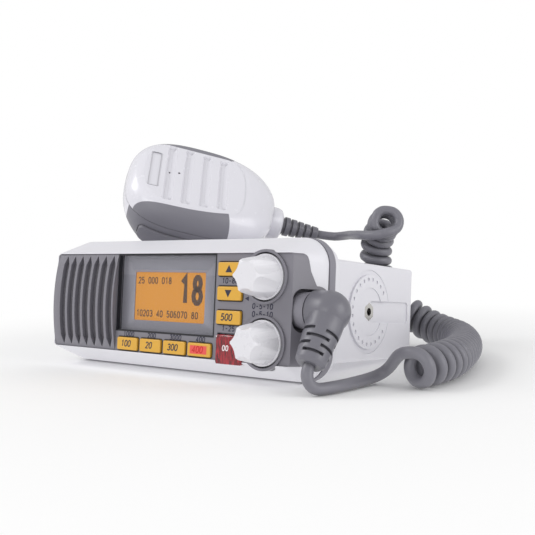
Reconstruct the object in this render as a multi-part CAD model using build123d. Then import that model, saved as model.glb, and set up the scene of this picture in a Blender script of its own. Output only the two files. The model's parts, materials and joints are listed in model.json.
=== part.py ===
"""Marine VHF radio with its fist microphone and curly cord.

The radio is modelled level, in its own set frame: X to the right along the front, Y to the rear from the
panel's flat front, Z up from the bezel's lower edge. It then stands as it does on a table: nose up, on
the gasket's lower rear edge and on the housing's rounded lower rear edge. The microphone leans on the
housing's top and has its own frame. The cord's points are in the standing frame, whose origin is on the
table, under the middle of the radio and its microphone.
"""
from build123d import *
from math import asin, atan2, cos, degrees, hypot, pi, radians, sin, tan
import os

# ---------------------------------------------------------------- driving dimensions, in millimetres
FIT_GAP = 0.1            # joint line round a piece that is let into another
MOVE_GAP = 0.4           # gap round a key, a knob or a cover that moves

# Front panel and bezel
PANEL_W = 170.0
PANEL_H = 53.2
PANEL_T = 2.5
PANEL_BASE = 8.6         # panel's lower edge above the bezel's
LIP = 0.9                # bezel's lip ahead of the panel
LIP_W = 0.6
LIP_R = 3.0
BEZEL_W = 185.0
BEZEL_H = 70.6
BEZEL_DEPTH = 20.9
BEZEL_RIM = 2.9          # straight rim behind the sloping bands
BEZEL_R = 14.0
BEZEL_WALL = 2.3
RIM_ROUND = 1.2

# Speaker grille on the left, bowed forward
BOW = 3.2
GRILLE_END = 1.0         # flat strip between the bow and the display window
SLOT_COUNT = 7
SLOT_PITCH = 6.6
SLOT_W = 4.7
SLOT_POINT = 5.2         # length of a slot's pointed end
SLOT_MARGIN = 1.1        # panel left above and below a slot's point
SLOT_RIB = 1.2           # panel left between the last slot and the bow's end
CLOTH_T = 0.5

# Display
LENS_LEFT = -32.8
LENS_RIGHT = 37.7
LENS_BOTTOM = 20.2
LENS_TOP = 61.0
LENS_DEPTH = 2.0         # lens face behind the panel's front
LENS_T = 1.2
LENS_GAP = 0.15
MASK_T = 0.4
LCD_LEFT = -23.1
LCD_RIGHT = 28.5
LCD_BOTTOM = 25.9
LCD_TOP = 52.1
LCD_T = 4.8              # display glass with its backlight, one sealed module
LCD_MARGIN = 1.2         # glass hidden behind the mask's window
DISPLAY_RIM = 1.6        # display frame beyond the lens opening
DISPLAY_FOOT = 1.5       # and below it
FRONT_SCREW_OUT = 1.5    # front board's screws: how far out of the margin's middle
FRONT_SCREW_Z = (2.4, 3.0)   # and in from the opening's lower and upper edges
FRONT_SCREW_L = 5.0

# Keys
KEY_W = 15.6
KEY_H = 6.8
KEY_R = 0.9
KEY_PROUD = 1.3
KEY_TRAVEL = 1.0
KEY_FLANGE = 0.7         # flange beyond the cap, behind the panel
KEY_FLANGE_T = 1.0
KEY_FLANGE_GAP = 0.3
KEY_EDGE = 0.5           # rounding of the cap's front edge
ROW_FIRST_X = -23.1
ROW_PITCH = 17.55
ROW_Z = 12.8
COLUMN_X = 48.1
COLUMN_Z = (53.9, 41.8, 29.9)
PLUNGER_R = 2.0
MAT_MARGIN = 0.5

# Distress key under its hinged cover
COVER_W = 14.2
COVER_T = 1.4
COVER_BOTTOM = 6.9
COVER_PROUD = 1.1
HINGE_Z = 20.2
HINGE_Y = 0.5
HINGE_R = 1.2
HINGE_ROOM = 0.8         # slot above the hinge, which the open cover's root swings through
HINGE_PIN_R = 0.6
HINGE_PIN_HOLD = 0.8     # pin's length held in the panel at each end
PIN_RUN = 0.05           # running clearance round a small pin
POCKET_DEPTH = 2.2
POCKET_FLOOR = 1.4
TAB_W = 2.2
TAB_H = 3.6
DISTRESS_W = 9.0
DISTRESS_H = 6.0
DISTRESS_Z = 13.6
DISTRESS_SINK = 0.6      # key's front behind the hinge's axis

# Volume and squelch knobs
KNOB_X = 69.8
KNOB_Z = (50.3, 18.6)
KNOB_FLANGE_R = 11.1
KNOB_FOOT_R = 10.5
KNOB_TIP_R = 8.9
KNOB_FRONT = 15.5        # knob's front ahead of the panel
KNOB_SHAFT_SINK = 4.5    # shaft's tip behind the knob's front
KNOB_BORE_SINK = 4.0
KNOB_SKIN = 3.0          # knob's wall round the control's bushing
KNOB_SCALLOPS = 6
SCALLOP_R = 7.0
SCALLOP_FOOT = 0.3       # scallop's depth at the knob's foot
SCALLOP_TIP = 2.5        # and at its front
KNOB_DOME = 1.1
RIM_R = 13.3
RIM_PROUD = 1.0
WELL_R = 12.0
WELL_WALL = 0.9
WELL_DEPTH = 3.5
WELL_FLOOR = 2.0
WELL_SKIRT = 1.5         # ring left behind the well's floor
SHAFT_R = 3.0
SHAFT_RUN = 0.05
BUSHING_R = 3.9
NUT_AF = 10.0
NUT_T = 1.2
POT_W = 11.0

# Microphone socket on the right side
JACK_Y = 9.8
JACK_Z = 34.8
JACK_R = 8.2
JACK_INNER = 80.6        # socket's barrel starts clear of the knobs' wells
CARRIER = (72.0, 5.5)    # contact carrier behind the wells: its inner end and half its height
CARRIER_BACK = 6.0       # how far it reaches behind the barrel's axis
JACK_PROUD = 1.0
JACK_HOLE_X = 77.0       # inner end of the hole that the barrel passes through
RECESS_W = 18.6          # front to rear
RECESS_H = 20.6
RECESS_R = 5.0
RECESS_FLOOR_X = 83.5
RECESS_WALL = 1.5
WING_TOP_Y = 7.6         # how far the panel's side runs back, at its top
WING_KNEE = (9.6, 18.8)  # its rear edge: distance back, and height from the socket
WING_FOOT = (13.4, 11.2)
WING_ROUND = 2.4

# Gasket, housing and flange
GASKET_T = 5.1
GASKET_PROUD = 0.3
GASKET_W = 6.0
GASKET_IN = 9.6          # ring's width on each side
FLANGE_T = 6.0
FLANGE_INSET = 0.2       # flange's side inside the bezel's
FLANGE_DROP = 1.4        # flange's top and bottom inside the bezel's
FLANGE_ROUND = 2.5
BODY_W = 168.0
BODY_H = 53.8
BODY_BASE = 8.2
BODY_LENGTH = 93.7
BODY_R = 2.5
BODY_DRAFT = 0.95        # degrees on every side
BODY_WALL = 2.3
REAR_ROUND = 4.0
REAR_WINDOW_W = 144.0
REAR_WINDOW_H = 38.0

# Bracket pivots on the housing's sides
PIVOT_Y = 73.8
PIVOT_Z = 35.3
DISC_R = 20.0
DISC_FACE_X = 84.1
DISC_RELIEF_R = 22.6
RELIEF_DEPTH = 0.5
DETENT_RING_R = 17.5
DETENT_COUNT = 24
DETENT_R = 1.0
DETENT_DEPTH = 0.6
HUB_R = 13.0
HUB_STEP = 0.5
CHANNEL_W = 11.8
CHANNEL_END = 118.5
CHANNEL_DEPTH = 0.7
INSERT_AF = 8.7
INSERT_LENGTH = 10.0
INSERT_HOLE_R = 2.1      # minor radius of an M5 thread
PIVOT_BOSS_R = 8.0

# Chassis, heat sink and rear sockets
TRAY_W = 140.0
TRAY_Z = 12.3
TRAY_T = 2.0
TRAY_FRONT = 29.0
BACKPLATE_T = 3.0
SINK_BASE = 2.0          # heat sink's base behind the housing's rear
FIN_HEIGHT = 9.0
FIN_T = 2.2
FIN_PITCH = 6.6
SOCKET_PAD = (-66.0, -10.0)  # part of the heat sink with no fins
ANTENNA_X = -50.0
ANTENNA_R = 7.9
ANTENNA_LENGTH = 15.0
ANTENNA_FLANGE = 25.0
GLAND_X = -23.0
GLAND_R = 6.5
GLAND_LENGTH = 9.0
GLAND_HOLE_R = 3.4
GLAND_LIP = 1.5
POST_R = 3.0
BOARD_T = 1.6
BOARD_Z = 18.0
BOARD_W = 132.0
BOARD_REAR_GAP = 4.0
CAN_SIDES = (-52.0, -4.0, 44.0, 84.0)    # left, right, front, rear
CAN_H = 9.0
CAN_T = 0.5
MODULE_SIDES = (14.0, 58.0)
MODULE_DEPTH = 9.0
MODULE_H = 12.0

# Front board and what it carries
FRONT_BOARD_Y = 9.5
FRONT_BOARD_RIGHT = 80.5
JACK_ROOM = 1.2          # board cut back round the socket
SPEAKER_R = 21.4
CONE_R = 18.2
SPEAKER_Y = 3.2
SPEAKER_DEPTH = 18.5
MAGNET_R = 14.0
MAGNET_T = 7.0
BASKET_T = 1.2
POLE_HOLE_R = 5.0        # hole in the basket that the magnet's pole passes
# Cone: its upper and lower skin as (distance in from the rim or out from the middle, depth)
CONE_RIM = ((0, 0.7), (1.7, 0.7), (2.5, 0), (3.5, 0.8))
CONE_CAP = ((6.5, 5.5), (4.5, 4.4), (0, 3.9), (0, 4.4), (4.3, 4.9), (6.3, 6.1))
CONE_RIM_BACK = ((3.5, 1.4), (2.5, 0.5), (1.7, 1.2), (0, 1.2))

# Screws
SCREW_R = 1.5
SCREW_HEAD_R = 2.7
SCREW_HEAD_T = 1.8
BEZEL_SCREW_X = 87.4
BEZEL_SCREW_Z = (12.6, 58.0)
BEZEL_BOSS_R = 3.4
BEZEL_BOSS_LENGTH = 10.0

# Fist microphone: its own frame has X to the cord, Y across and Z out of its face
MIC_PLACE = (-44.4, 65.7, 115.0)
MIC_AXIS = (0.621, 0.765, -0.170)
MIC_FACE = (0.664, -0.398, 0.633)
MIC_LEFT = -38.0
MIC_RIGHT = 59.0
MIC_HALF = 35.7
MIC_PART = -14.0         # parting line below the face
MIC_BACK = -44.5
MIC_MIDDLE = 5.0         # where the outline is widest
MIC_GRIP_T = 1.3
MIC_WALL = 2.8
MIC_SEAM = 0.3
MIC_FRONT_LEVELS = ((0, 0, 0, 0, 0), (0.43, 0.9, 2.0, 0.9, 0.9), (0.76, 3.4, 8.0, 3.2, 3.2),
                    (1, 9.0, 20.0, 7.2, 7.2))
MIC_REAR_LEVELS = ((0, 0, 0, 0, 0), (0.33, 0.6, 2.0, 0.8, 0.2), (0.67, 6.6, 7.0, 4.2, 0.8),
                   (0.88, 15.0, 14.0, 11.0, 3.0), (1, 22.0, 22.0, 18.5, 9.0))
MIC_SQUARENESS = 2.8
MIC_POINTS = 16
GRIP_LEFT = -33.0
GRIP_RIGHT = 26.0
GRIP_INNER = 29.0
GRIP_REAR_IN = 5.0       # how much further in the rear grips reach
GRIP_SAG = 4.0           # how much the grip's inner edge bends in at its ends
RIB_U = (-12.9, -1.5, 10.0, 21.3)
RIB_HALF = (25.4, 25.3, 24.2, 22.8)
RIB_W = 6.2
RIB_DEPTH = 1.5
RIB_SLOPE = 40.0         # degrees between a trough's walls and the face's normal
RIB_CORNER = 1.5
SOUND_HOLE_R = 0.8
SOUND_HOLE_V = 1.0
SOUND_HOLE_STEP = 5.6
BADGE_U = -22.6
BADGE_W = 7.0
BADGE_L = 31.5
BADGE_T = 0.6
PTT_U = -5.0
PTT_L = 40.0
PTT_N = -25.5
PTT_W = 12.0
PTT_PROUD = 1.8
PTT_TRAVEL = 2.0
PTT_ROOT = 21.0          # how far from the middle the key's shank starts
PTT_FLANGE_T = 1.5
PTT_FLANGE = 1.1
PTT_R = 4.0
SWITCH_GAP = 0.3
SWITCH_W = 8.0
MIC_BOARD_N = -15.2
MIC_BOARD_L = 56.0
MIC_BOARD_W = 36.0
COLLAR_U = 58.0
COLLAR_L = 10.0
COLLAR_R = 11.0
CABLE_V = 4.5            # cord's axis at the microphone, across and below the face
CABLE_N = -26.0
SLEEVE_L = 26.0
SLEEVE_R = 6.4
SLEEVE_TIP_R = 4.3
SLEEVE_RIDGES = 5
STUD_R = 7.5
STUD_NECK_R = 4.5
STUD_SPIGOT_R = 2.7      # stud's spigot in the shell
STUD_HEIGHT = 6.5
STUD_HEAD_T = 2.4
MIC_SCREWS = ((-7.0, 9.0), (-7.0, -15.0), (28.0, -4.0))
MIC_SCREW_L = 6.6
MIC_SCREW_HEAD_T = 1.2

# Middle of the standing radio and microphone, behind the panel's foot
MIDDLE_Y = 73.62

# Plug, boot and cord
CORD_R = 2.9
PLUG_RING_R = 9.0
SEAM_X = 91.8
SEAM_GAP = 0.5
ELBOW_X = 100.5
ELBOW_R = 10.1
NECK_TURN = 31.5         # degrees that the boot's neck leans forward
NECK_L = 28.6
NECK_R = 8.9
NECK_TIP_R = 6.4
NECK_STRAIGHT = 9.0      # neck's length before it tapers
NECK_ROWS = 4            # rows of slots round the neck, each turned by half a slot
NECK_SLOTS = 3
NECK_SLOT_START = 13.0
NECK_SLOT_PITCH = 3.6
NECK_SLOT_W = 1.5
NECK_SLOT_DEPTH = 1.4
NECK_SLOT_ANGLE = 84.0
COIL_R = 10.2

# ---------------------------------------------------------------- worked out from the above
PANEL_TOP = PANEL_BASE + PANEL_H
PANEL_MID = PANEL_BASE + PANEL_H / 2
BAND_END = BEZEL_DEPTH - BEZEL_RIM
GASKET_BACK = BEZEL_DEPTH + GASKET_T
FLANGE_BACK = GASKET_BACK + FLANGE_T
BODY_BACK = FLANGE_BACK + BODY_LENGTH
DRAFT = tan(radians(BODY_DRAFT))
BOW_R = ((PANEL_H / 2) ** 2 + BOW ** 2) / (2 * BOW)
BOW_Y = BOW_R - BOW      # bow's axis behind the panel's front
GRILLE_RIGHT = LENS_LEFT - GRILLE_END
SLOT_LAST = GRILLE_RIGHT - SLOT_RIB - SLOT_W / 2
LENS_BACK = LENS_DEPTH + LENS_T
MASK_BACK = LENS_BACK + MASK_T
KEY_FLANGE_Y = PANEL_T + KEY_FLANGE_GAP
KEY_TIP_Y = KEY_FLANGE_Y + KEY_FLANGE_T + 1.0
MAT_Y = KEY_TIP_Y + KEY_TRAVEL + KEY_FLANGE_GAP
POT_Y = WELL_DEPTH + WELL_FLOOR
TUBE_BACK = POT_Y + WELL_SKIRT
REAR_INNER = BODY_BACK - BODY_WALL
PLATE_FRONT = REAR_INNER - BACKPLATE_T
SINK_BACK = BODY_BACK + SINK_BASE


# ---------------------------------------------------------------- helpers
def block(x0, x1, y0, y1, z0, z1):
    """A box between two corners."""
    return Pos((x0 + x1) / 2, (y0 + y1) / 2, (z0 + z1) / 2) * Box(x1 - x0, y1 - y0, z1 - z0)


def prism_x(sketch, x0, x1):
    """Extrude a sketch of (Y, Z) from x0 to x1."""
    return extrude(Plane.YZ.offset(x0) * sketch, amount=x1 - x0)


def prism_y(sketch, y0, y1):
    """Extrude a sketch of (X, Z) from y0 to y1."""
    return extrude(Plane.XZ.offset(-y1) * sketch, amount=y1 - y0)


def rod_x(y, z, r, x0, x1):
    """A cylinder along X."""
    return prism_x(Pos(y, z) * Circle(r), x0, x1)


def rod_y(x, z, r, y0, y1):
    """A cylinder along Y."""
    return prism_y(Pos(x, z) * Circle(r), y0, y1)


def rounded(x0, x1, z0, z1, r):
    """A rounded rectangle between two corners."""
    return Pos((x0 + x1) / 2, (z0 + z1) / 2) * RectangleRounded(x1 - x0, z1 - z0, r)


def section_y(y, half, z0, z1, r):
    """A rounded rectangle across the radio at depth y."""
    return Plane.XZ.offset(-y) * rounded(-half, half, z0, z1, r)


def spin_y(x, z, points):
    """Revolve an outline of (radius, depth) about a line along Y through (x, z)."""
    outline = make_face(Polyline(*[(r, y, 0) for r, y in points], close=True))
    return Pos(x, 0, z) * revolve(outline, Axis.Y)


# ---------------------------------------------------------------- bezel and front panel
def bezel_form():
    """The bezel's outside: bands that slope out and back from the panel to a straight rim."""
    front = section_y(-LIP, PANEL_W / 2 + LIP_W, PANEL_BASE - LIP_W, PANEL_TOP + LIP_W, LIP_R)
    back = section_y(BAND_END, BEZEL_W / 2, 0, BEZEL_H, BEZEL_R)
    rim = prism_y(rounded(-BEZEL_W / 2, BEZEL_W / 2, 0, BEZEL_H, BEZEL_R), BAND_END, BEZEL_DEPTH)
    rim = fillet(rim.faces().sort_by(Axis.Y)[-1].edges(), RIM_ROUND)
    return loft([front, back]) + rim


def bezel_room():
    """The bezel's inside, behind the panel."""
    inner_r = BEZEL_R - BEZEL_WALL
    half = BEZEL_W / 2 - BEZEL_WALL
    front = section_y(PANEL_T, PANEL_W / 2, PANEL_BASE, PANEL_TOP, LIP_R)
    back = section_y(BAND_END, half, BEZEL_WALL, BEZEL_H - BEZEL_WALL, inner_r)
    rear = prism_y(rounded(-half, half, BEZEL_WALL, BEZEL_H - BEZEL_WALL, inner_r), BAND_END,
                   BEZEL_DEPTH)
    return loft([front, back]) + rear


def wing_outline(grow):
    """The panel's return on the right side, seen from that side, and the recess wall within it."""
    top = PANEL_TOP + grow
    bottom = PANEL_BASE - grow
    knee_y, knee_z = WING_KNEE
    foot_y, foot_z = WING_FOOT
    points = [(-LIP - 1, bottom), (WING_TOP_Y + grow, bottom), (knee_y + grow, JACK_Z - knee_z),
              (foot_y + grow, JACK_Z - foot_z), (foot_y + grow, JACK_Z + foot_z),
              (knee_y + grow, JACK_Z + knee_z), (WING_TOP_Y + grow, top), (-LIP - 1, top)]
    wing = make_face(Polyline(*points, close=True))
    corners = wing.vertices().sort_by(Axis.X)[2:-2]
    wing = fillet(corners, WING_ROUND)
    return wing + recess_outline(RECESS_WALL + grow)


def recess_outline(grow):
    """The socket's recess in the right side, grown by a wall."""
    width = RECESS_W + 2 * grow
    height = RECESS_H + 2 * grow
    return Pos(JACK_Y, JACK_Z) * RectangleRounded(width, height, RECESS_R + grow)


def bezel():
    """White bezel: bands, an opening for the panel, the side's notch, and four screw bosses."""
    form = bezel_form()
    shell = form - bezel_room()
    for side in (-1, 1):
        for z in BEZEL_SCREW_Z:
            boss = rod_y(side * BEZEL_SCREW_X, z, BEZEL_BOSS_R, BEZEL_DEPTH - BEZEL_BOSS_LENGTH, BEZEL_DEPTH)
            shell += boss & form
    for side in (-1, 1):
        for z in BEZEL_SCREW_Z:
            shell -= rod_y(side * BEZEL_SCREW_X, z, SCREW_R, BEZEL_DEPTH - BEZEL_BOSS_LENGTH + 1, BEZEL_DEPTH)
    half = PANEL_W / 2 + FIT_GAP
    shell -= block(-half, half, -LIP, PANEL_T, PANEL_BASE - FIT_GAP, PANEL_TOP + FIT_GAP)
    shell -= prism_x(wing_outline(FIT_GAP), PANEL_W / 2, BEZEL_W / 2 + 1)
    for z in KNOB_Z:
        shell -= rod_y(KNOB_X, z, RIM_R + FIT_GAP, -LIP - 1, TUBE_BACK + FIT_GAP)
    notch = pocket_half()
    shell -= block(COLUMN_X - notch, COLUMN_X + notch + TAB_W, -LIP - 1, COVER_T, COVER_BOTTOM - MOVE_GAP,
                   PANEL_BASE + 1)
    return shell


def pocket_half():
    """Half the width of the distress key's pocket."""
    return COVER_W / 2 + MOVE_GAP


def bow_solid(shrink, left, right):
    """The bowed front of the speaker end, from its face back to the panel's rear."""
    barrel = rod_x(BOW_Y, PANEL_MID, BOW_R - shrink, left, right)
    return barrel & block(left, right, -BOW, PANEL_T + 1, PANEL_BASE, PANEL_TOP)


def slot_outline(x):
    """A grille slot with a point at each end."""
    low = PANEL_BASE + SLOT_MARGIN
    high = PANEL_TOP - SLOT_MARGIN
    half = SLOT_W / 2
    points = [(x, low), (x + half, low + SLOT_POINT), (x + half, high - SLOT_POINT), (x, high),
              (x - half, high - SLOT_POINT), (x - half, low + SLOT_POINT)]
    return make_face(Polyline(*points, close=True))


def front_panel():
    """Grey front panel: bowed grille, display window, key holes, knob wells and the side's return."""
    half = PANEL_W / 2
    panel = block(-half, half, 0, PANEL_T, PANEL_BASE, PANEL_TOP)
    panel += bow_solid(0, -half, GRILLE_RIGHT) & block(-half, GRILLE_RIGHT, -BOW, PANEL_T, 0, BEZEL_H)
    room = bow_solid(PANEL_T, -half + PANEL_T, GRILLE_RIGHT - SLOT_RIB)
    panel -= room
    for index in range(SLOT_COUNT):
        slot = slot_outline(SLOT_LAST - index * SLOT_PITCH)
        panel -= prism_y(slot, -BOW - 1, PANEL_T)
    panel += (bezel_form() - bezel_room()) & prism_x(wing_outline(0), half, BEZEL_W / 2 + 1) & ahead_limit()
    cup = prism_x(recess_outline(RECESS_WALL), RECESS_FLOOR_X - RECESS_WALL, BEZEL_W / 2 + 1)
    panel += cup & bezel_form() & ahead_limit()
    panel -= prism_x(recess_outline(0), RECESS_FLOOR_X, BEZEL_W / 2 + 1)
    panel -= rod_x(JACK_Y, JACK_Z, JACK_R + FIT_GAP, JACK_HOLE_X, half + 1)
    panel -= block(LENS_LEFT, LENS_RIGHT, -1, PANEL_T + 1, LENS_BOTTOM, LENS_TOP)
    for x, z in key_places():
        hole = RectangleRounded(KEY_W + 2 * MOVE_GAP, KEY_H + 2 * MOVE_GAP, KEY_R + MOVE_GAP)
        panel -= prism_y(Pos(x, z) * hole, -1, PANEL_T + 1)
    panel = distress_pocket(panel)
    for z in KNOB_Z:
        panel = knob_well(panel, z)
    return panel


def ahead_limit():
    """All that lies behind the panel's front face."""
    return block(0, BEZEL_W, 0, BEZEL_DEPTH, -1, BEZEL_H + 1)


def key_places():
    """Centres of the four keys of the lower row and the three of the column."""
    row = [(ROW_FIRST_X + index * ROW_PITCH, ROW_Z) for index in range(4)]
    return row + [(COLUMN_X, z) for z in COLUMN_Z]


def distress_pocket(panel):
    """Cut the pocket that holds the distress key, with its floor and the hinge pin's seats."""
    half = pocket_half()
    top = HINGE_Z + HINGE_R + HINGE_ROOM
    floor = POCKET_DEPTH + POCKET_FLOOR
    panel += block(COLUMN_X - half - 1, COLUMN_X + half + 1, 0, floor, PANEL_BASE, top + 1)
    panel -= block(COLUMN_X - half, COLUMN_X + half, -1, POCKET_DEPTH, PANEL_BASE - 1, top)
    panel -= block(COLUMN_X, COLUMN_X + half + TAB_W, -1, COVER_T, PANEL_BASE - 1,
                   COVER_BOTTOM + TAB_H + MOVE_GAP)
    reach = half + HINGE_PIN_HOLD
    panel -= rod_x(HINGE_Y, HINGE_Z, HINGE_PIN_R, COLUMN_X - reach, COLUMN_X + reach)
    hole = RectangleRounded(DISTRESS_W + 2 * MOVE_GAP, DISTRESS_H + 2 * MOVE_GAP, KEY_R + MOVE_GAP)
    return panel - prism_y(Pos(COLUMN_X, DISTRESS_Z) * hole, 0, floor + 1)


def knob_well(panel, z):
    """Add a rim that stands proud of the panel and the well that a knob's foot turns in."""
    panel += rod_y(KNOB_X, z, RIM_R, -RIM_PROUD, PANEL_T)
    panel += rod_y(KNOB_X, z, WELL_R + WELL_WALL, PANEL_T, TUBE_BACK)
    panel -= rod_y(KNOB_X, z, WELL_R, -RIM_PROUD, WELL_DEPTH)
    panel -= rod_y(KNOB_X, z, WELL_R, POT_Y, TUBE_BACK)
    return panel - rod_y(KNOB_X, z, BUSHING_R + FIT_GAP, WELL_DEPTH, POT_Y)


# ---------------------------------------------------------------- display
def lens():
    """Clear window let into the panel."""
    outline = rounded(LENS_LEFT + LENS_GAP, LENS_RIGHT - LENS_GAP, LENS_BOTTOM + LENS_GAP,
                      LENS_TOP - LENS_GAP, LENS_GAP)
    return prism_y(outline, LENS_DEPTH, LENS_BACK)


def lens_mask():
    """Printed sheet behind the window, open over the display."""
    outline = rounded(LENS_LEFT, LENS_RIGHT, LENS_BOTTOM, LENS_TOP, LENS_GAP)
    opening = rounded(LCD_LEFT, LCD_RIGHT, LCD_BOTTOM, LCD_TOP, KEY_R)
    return prism_y(outline - opening, LENS_BACK, MASK_BACK)


def lcd_outline(grow):
    """The display glass, grown by a margin."""
    return rounded(LCD_LEFT - grow, LCD_RIGHT + grow, LCD_BOTTOM - grow, LCD_TOP + grow, KEY_R)


def display_frame():
    """Plastic frame that holds the display against the panel and spaces the board."""
    outline = rounded(LENS_LEFT - DISPLAY_RIM, LENS_RIGHT + DISPLAY_RIM, LENS_BOTTOM - DISPLAY_FOOT,
                      LENS_TOP + 0.5, KEY_R)
    frame = prism_y(outline, PANEL_T, FRONT_BOARD_Y)
    frame -= block(LENS_LEFT, LENS_RIGHT, PANEL_T, MASK_BACK, LENS_BOTTOM, LENS_TOP)
    frame -= prism_y(lcd_outline(LCD_MARGIN + FIT_GAP), PANEL_T, FRONT_BOARD_Y)
    for x, z in front_screw_places():
        frame -= rod_y(x, z, SCREW_R, FRONT_BOARD_Y - FRONT_SCREW_L, FRONT_BOARD_Y)
    return frame


def front_screw_places():
    """Screws in the display frame's corners."""
    left = (LENS_LEFT + LCD_LEFT) / 2 - FRONT_SCREW_OUT
    right = (LENS_RIGHT + LCD_RIGHT) / 2 + FRONT_SCREW_OUT
    up, down = FRONT_SCREW_Z
    return [(x, z) for x in (left, right) for z in (LENS_BOTTOM + up, LENS_TOP - down)]


def front_board():
    """Circuit board behind the panel, cut round the microphone socket."""
    left = LENS_LEFT - DISPLAY_RIM
    board = block(left, FRONT_BOARD_RIGHT, FRONT_BOARD_Y, FRONT_BOARD_Y + BOARD_T, PANEL_BASE, PANEL_TOP)
    room = JACK_R + JACK_ROOM
    board -= block(CARRIER[0] - 1, FRONT_BOARD_RIGHT, FRONT_BOARD_Y - 1, FRONT_BOARD_Y + BOARD_T + 1,
                   JACK_Z - room, JACK_Z + room)
    for x, z in front_screw_places():
        board -= rod_y(x, z, SCREW_R + FIT_GAP, FRONT_BOARD_Y, FRONT_BOARD_Y + BOARD_T)
    return board


# ---------------------------------------------------------------- keys
def key(x, z):
    """A key: its cap stands proud, its flange stays behind the panel and its plunger meets the mat."""
    cap = prism_y(Pos(x, z) * RectangleRounded(KEY_W, KEY_H, KEY_R), -KEY_PROUD, KEY_FLANGE_Y)
    cap = fillet(cap.faces().sort_by(Axis.Y)[0].edges(), KEY_EDGE)
    flange = RectangleRounded(KEY_W + 2 * KEY_FLANGE, KEY_H + 2 * KEY_FLANGE, KEY_R)
    cap += prism_y(Pos(x, z) * flange, KEY_FLANGE_Y, KEY_FLANGE_Y + KEY_FLANGE_T)
    return cap + rod_y(x, z, PLUNGER_R, KEY_FLANGE_Y + KEY_FLANGE_T, KEY_TIP_Y)


def distress_key():
    """The distress key, in the floor of its pocket."""
    floor = POCKET_DEPTH + POCKET_FLOOR
    front = HINGE_Y + DISTRESS_SINK
    flange_y = floor + KEY_FLANGE_GAP
    middle = Pos(COLUMN_X, DISTRESS_Z)
    cap = prism_y(middle * RectangleRounded(DISTRESS_W, DISTRESS_H, KEY_R), front, flange_y)
    flange = RectangleRounded(DISTRESS_W + 2 * KEY_FLANGE, DISTRESS_H + 2 * KEY_FLANGE, KEY_R)
    return cap + prism_y(middle * flange, flange_y, KEY_TIP_Y)


def distress_cover():
    """Hinged cover over the distress key, with a finger tab at its lower right corner."""
    left = COLUMN_X - COVER_W / 2
    right = COLUMN_X + COVER_W / 2
    front = -COVER_PROUD
    back = COVER_T - COVER_PROUD
    plate = prism_y(rounded(left, right, COVER_BOTTOM, HINGE_Z, KEY_R), front, back)
    plate += prism_y(rounded(COLUMN_X, right + TAB_W, COVER_BOTTOM, COVER_BOTTOM + TAB_H, KEY_R), front, back)
    plate += rod_x(HINGE_Y, HINGE_Z, HINGE_R, left, right)
    return plate - rod_x(HINGE_Y, HINGE_Z, HINGE_PIN_R + PIN_RUN, left, right)


def hinge_pin():
    """Steel pin of the distress cover."""
    reach = pocket_half() + HINGE_PIN_HOLD
    return rod_x(HINGE_Y, HINGE_Z, HINGE_PIN_R, COLUMN_X - reach, COLUMN_X + reach)


def key_mat():
    """Silicone mat behind the keys, seated on the front board."""
    half_w = KEY_W / 2 + MAT_MARGIN
    half_h = KEY_H / 2 + MAT_MARGIN
    right = COLUMN_X + half_w
    row = block(ROW_FIRST_X - half_w, right, MAT_Y, FRONT_BOARD_Y, ROW_Z - half_h, ROW_Z + half_h)
    column = block(COLUMN_X - half_w, right, MAT_Y, FRONT_BOARD_Y, ROW_Z - half_h, COLUMN_Z[0] + half_h)
    return row + column


# ---------------------------------------------------------------- knobs
def knob(z):
    """A knob with a round flange at its foot and scallops that deepen towards its front."""
    foot = WELL_DEPTH - 1.0
    flange_front = -RIM_PROUD - 0.2
    bore = SHAFT_R
    top = -KNOB_FRONT
    sunk = top + KNOB_BORE_SINK
    inner = BUSHING_R + KNOB_SKIN
    profile = [(bore, sunk), (0, sunk), (0, top), (KNOB_TIP_R - 2.4, top),
               (KNOB_TIP_R - 0.6, top + KNOB_DOME * 0.6), (KNOB_TIP_R, top + KNOB_DOME * 2),
               (KNOB_FOOT_R, flange_front), (KNOB_FLANGE_R, flange_front),
               (KNOB_FLANGE_R, foot), (inner, foot), (inner, flange_front),
               (bore, flange_front)]
    body = spin_y(KNOB_X, z, profile)
    front_reach = KNOB_TIP_R - SCALLOP_TIP + SCALLOP_R
    foot_reach = KNOB_FOOT_R - SCALLOP_FOOT + SCALLOP_R
    span = KNOB_FRONT + flange_front
    lean = degrees(atan2(foot_reach - front_reach, span))
    for index in range(KNOB_SCALLOPS):
        cutter = Pos(front_reach, 0, 0) * Rot(0, lean, 0) * Cylinder(
            SCALLOP_R, 2 * span, align=(Align.CENTER, Align.CENTER, Align.CENTER))
        cutter &= Pos(0, 0, span / 2) * Box(6 * SCALLOP_R, 6 * SCALLOP_R, span)
        place = Pos(KNOB_X, top, z) * Rot(-90, 0, 0) * Rot(0, 0, 360 * (index + 0.5) / KNOB_SCALLOPS)
        body -= place * cutter
    return body


def knob_shaft(z):
    """The control's shaft, which turns with its knob."""
    return rod_y(KNOB_X, z, SHAFT_R, -KNOB_FRONT + KNOB_SHAFT_SINK, POT_Y + 2.0)


def pot(z):
    """A rotary control: threaded bushing through the well's floor and a body on the board."""
    body = block(KNOB_X - POT_W / 2, KNOB_X + POT_W / 2, POT_Y, FRONT_BOARD_Y, z - POT_W / 2, z + POT_W / 2)
    body += rod_y(KNOB_X, z, BUSHING_R, WELL_DEPTH - NUT_T - 0.6, POT_Y)
    return body - rod_y(KNOB_X, z, SHAFT_R + SHAFT_RUN, -KNOB_FRONT, POT_Y + 2.3)


def pot_nuts():
    """Nuts on the two bushings."""
    nuts = []
    for z in KNOB_Z:
        outline = RegularPolygon(NUT_AF / 2, 6, major_radius=False) - Circle(BUSHING_R)
        nuts.append(prism_y(Pos(KNOB_X, z) * outline, WELL_DEPTH - NUT_T, WELL_DEPTH))
    return nuts


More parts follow.
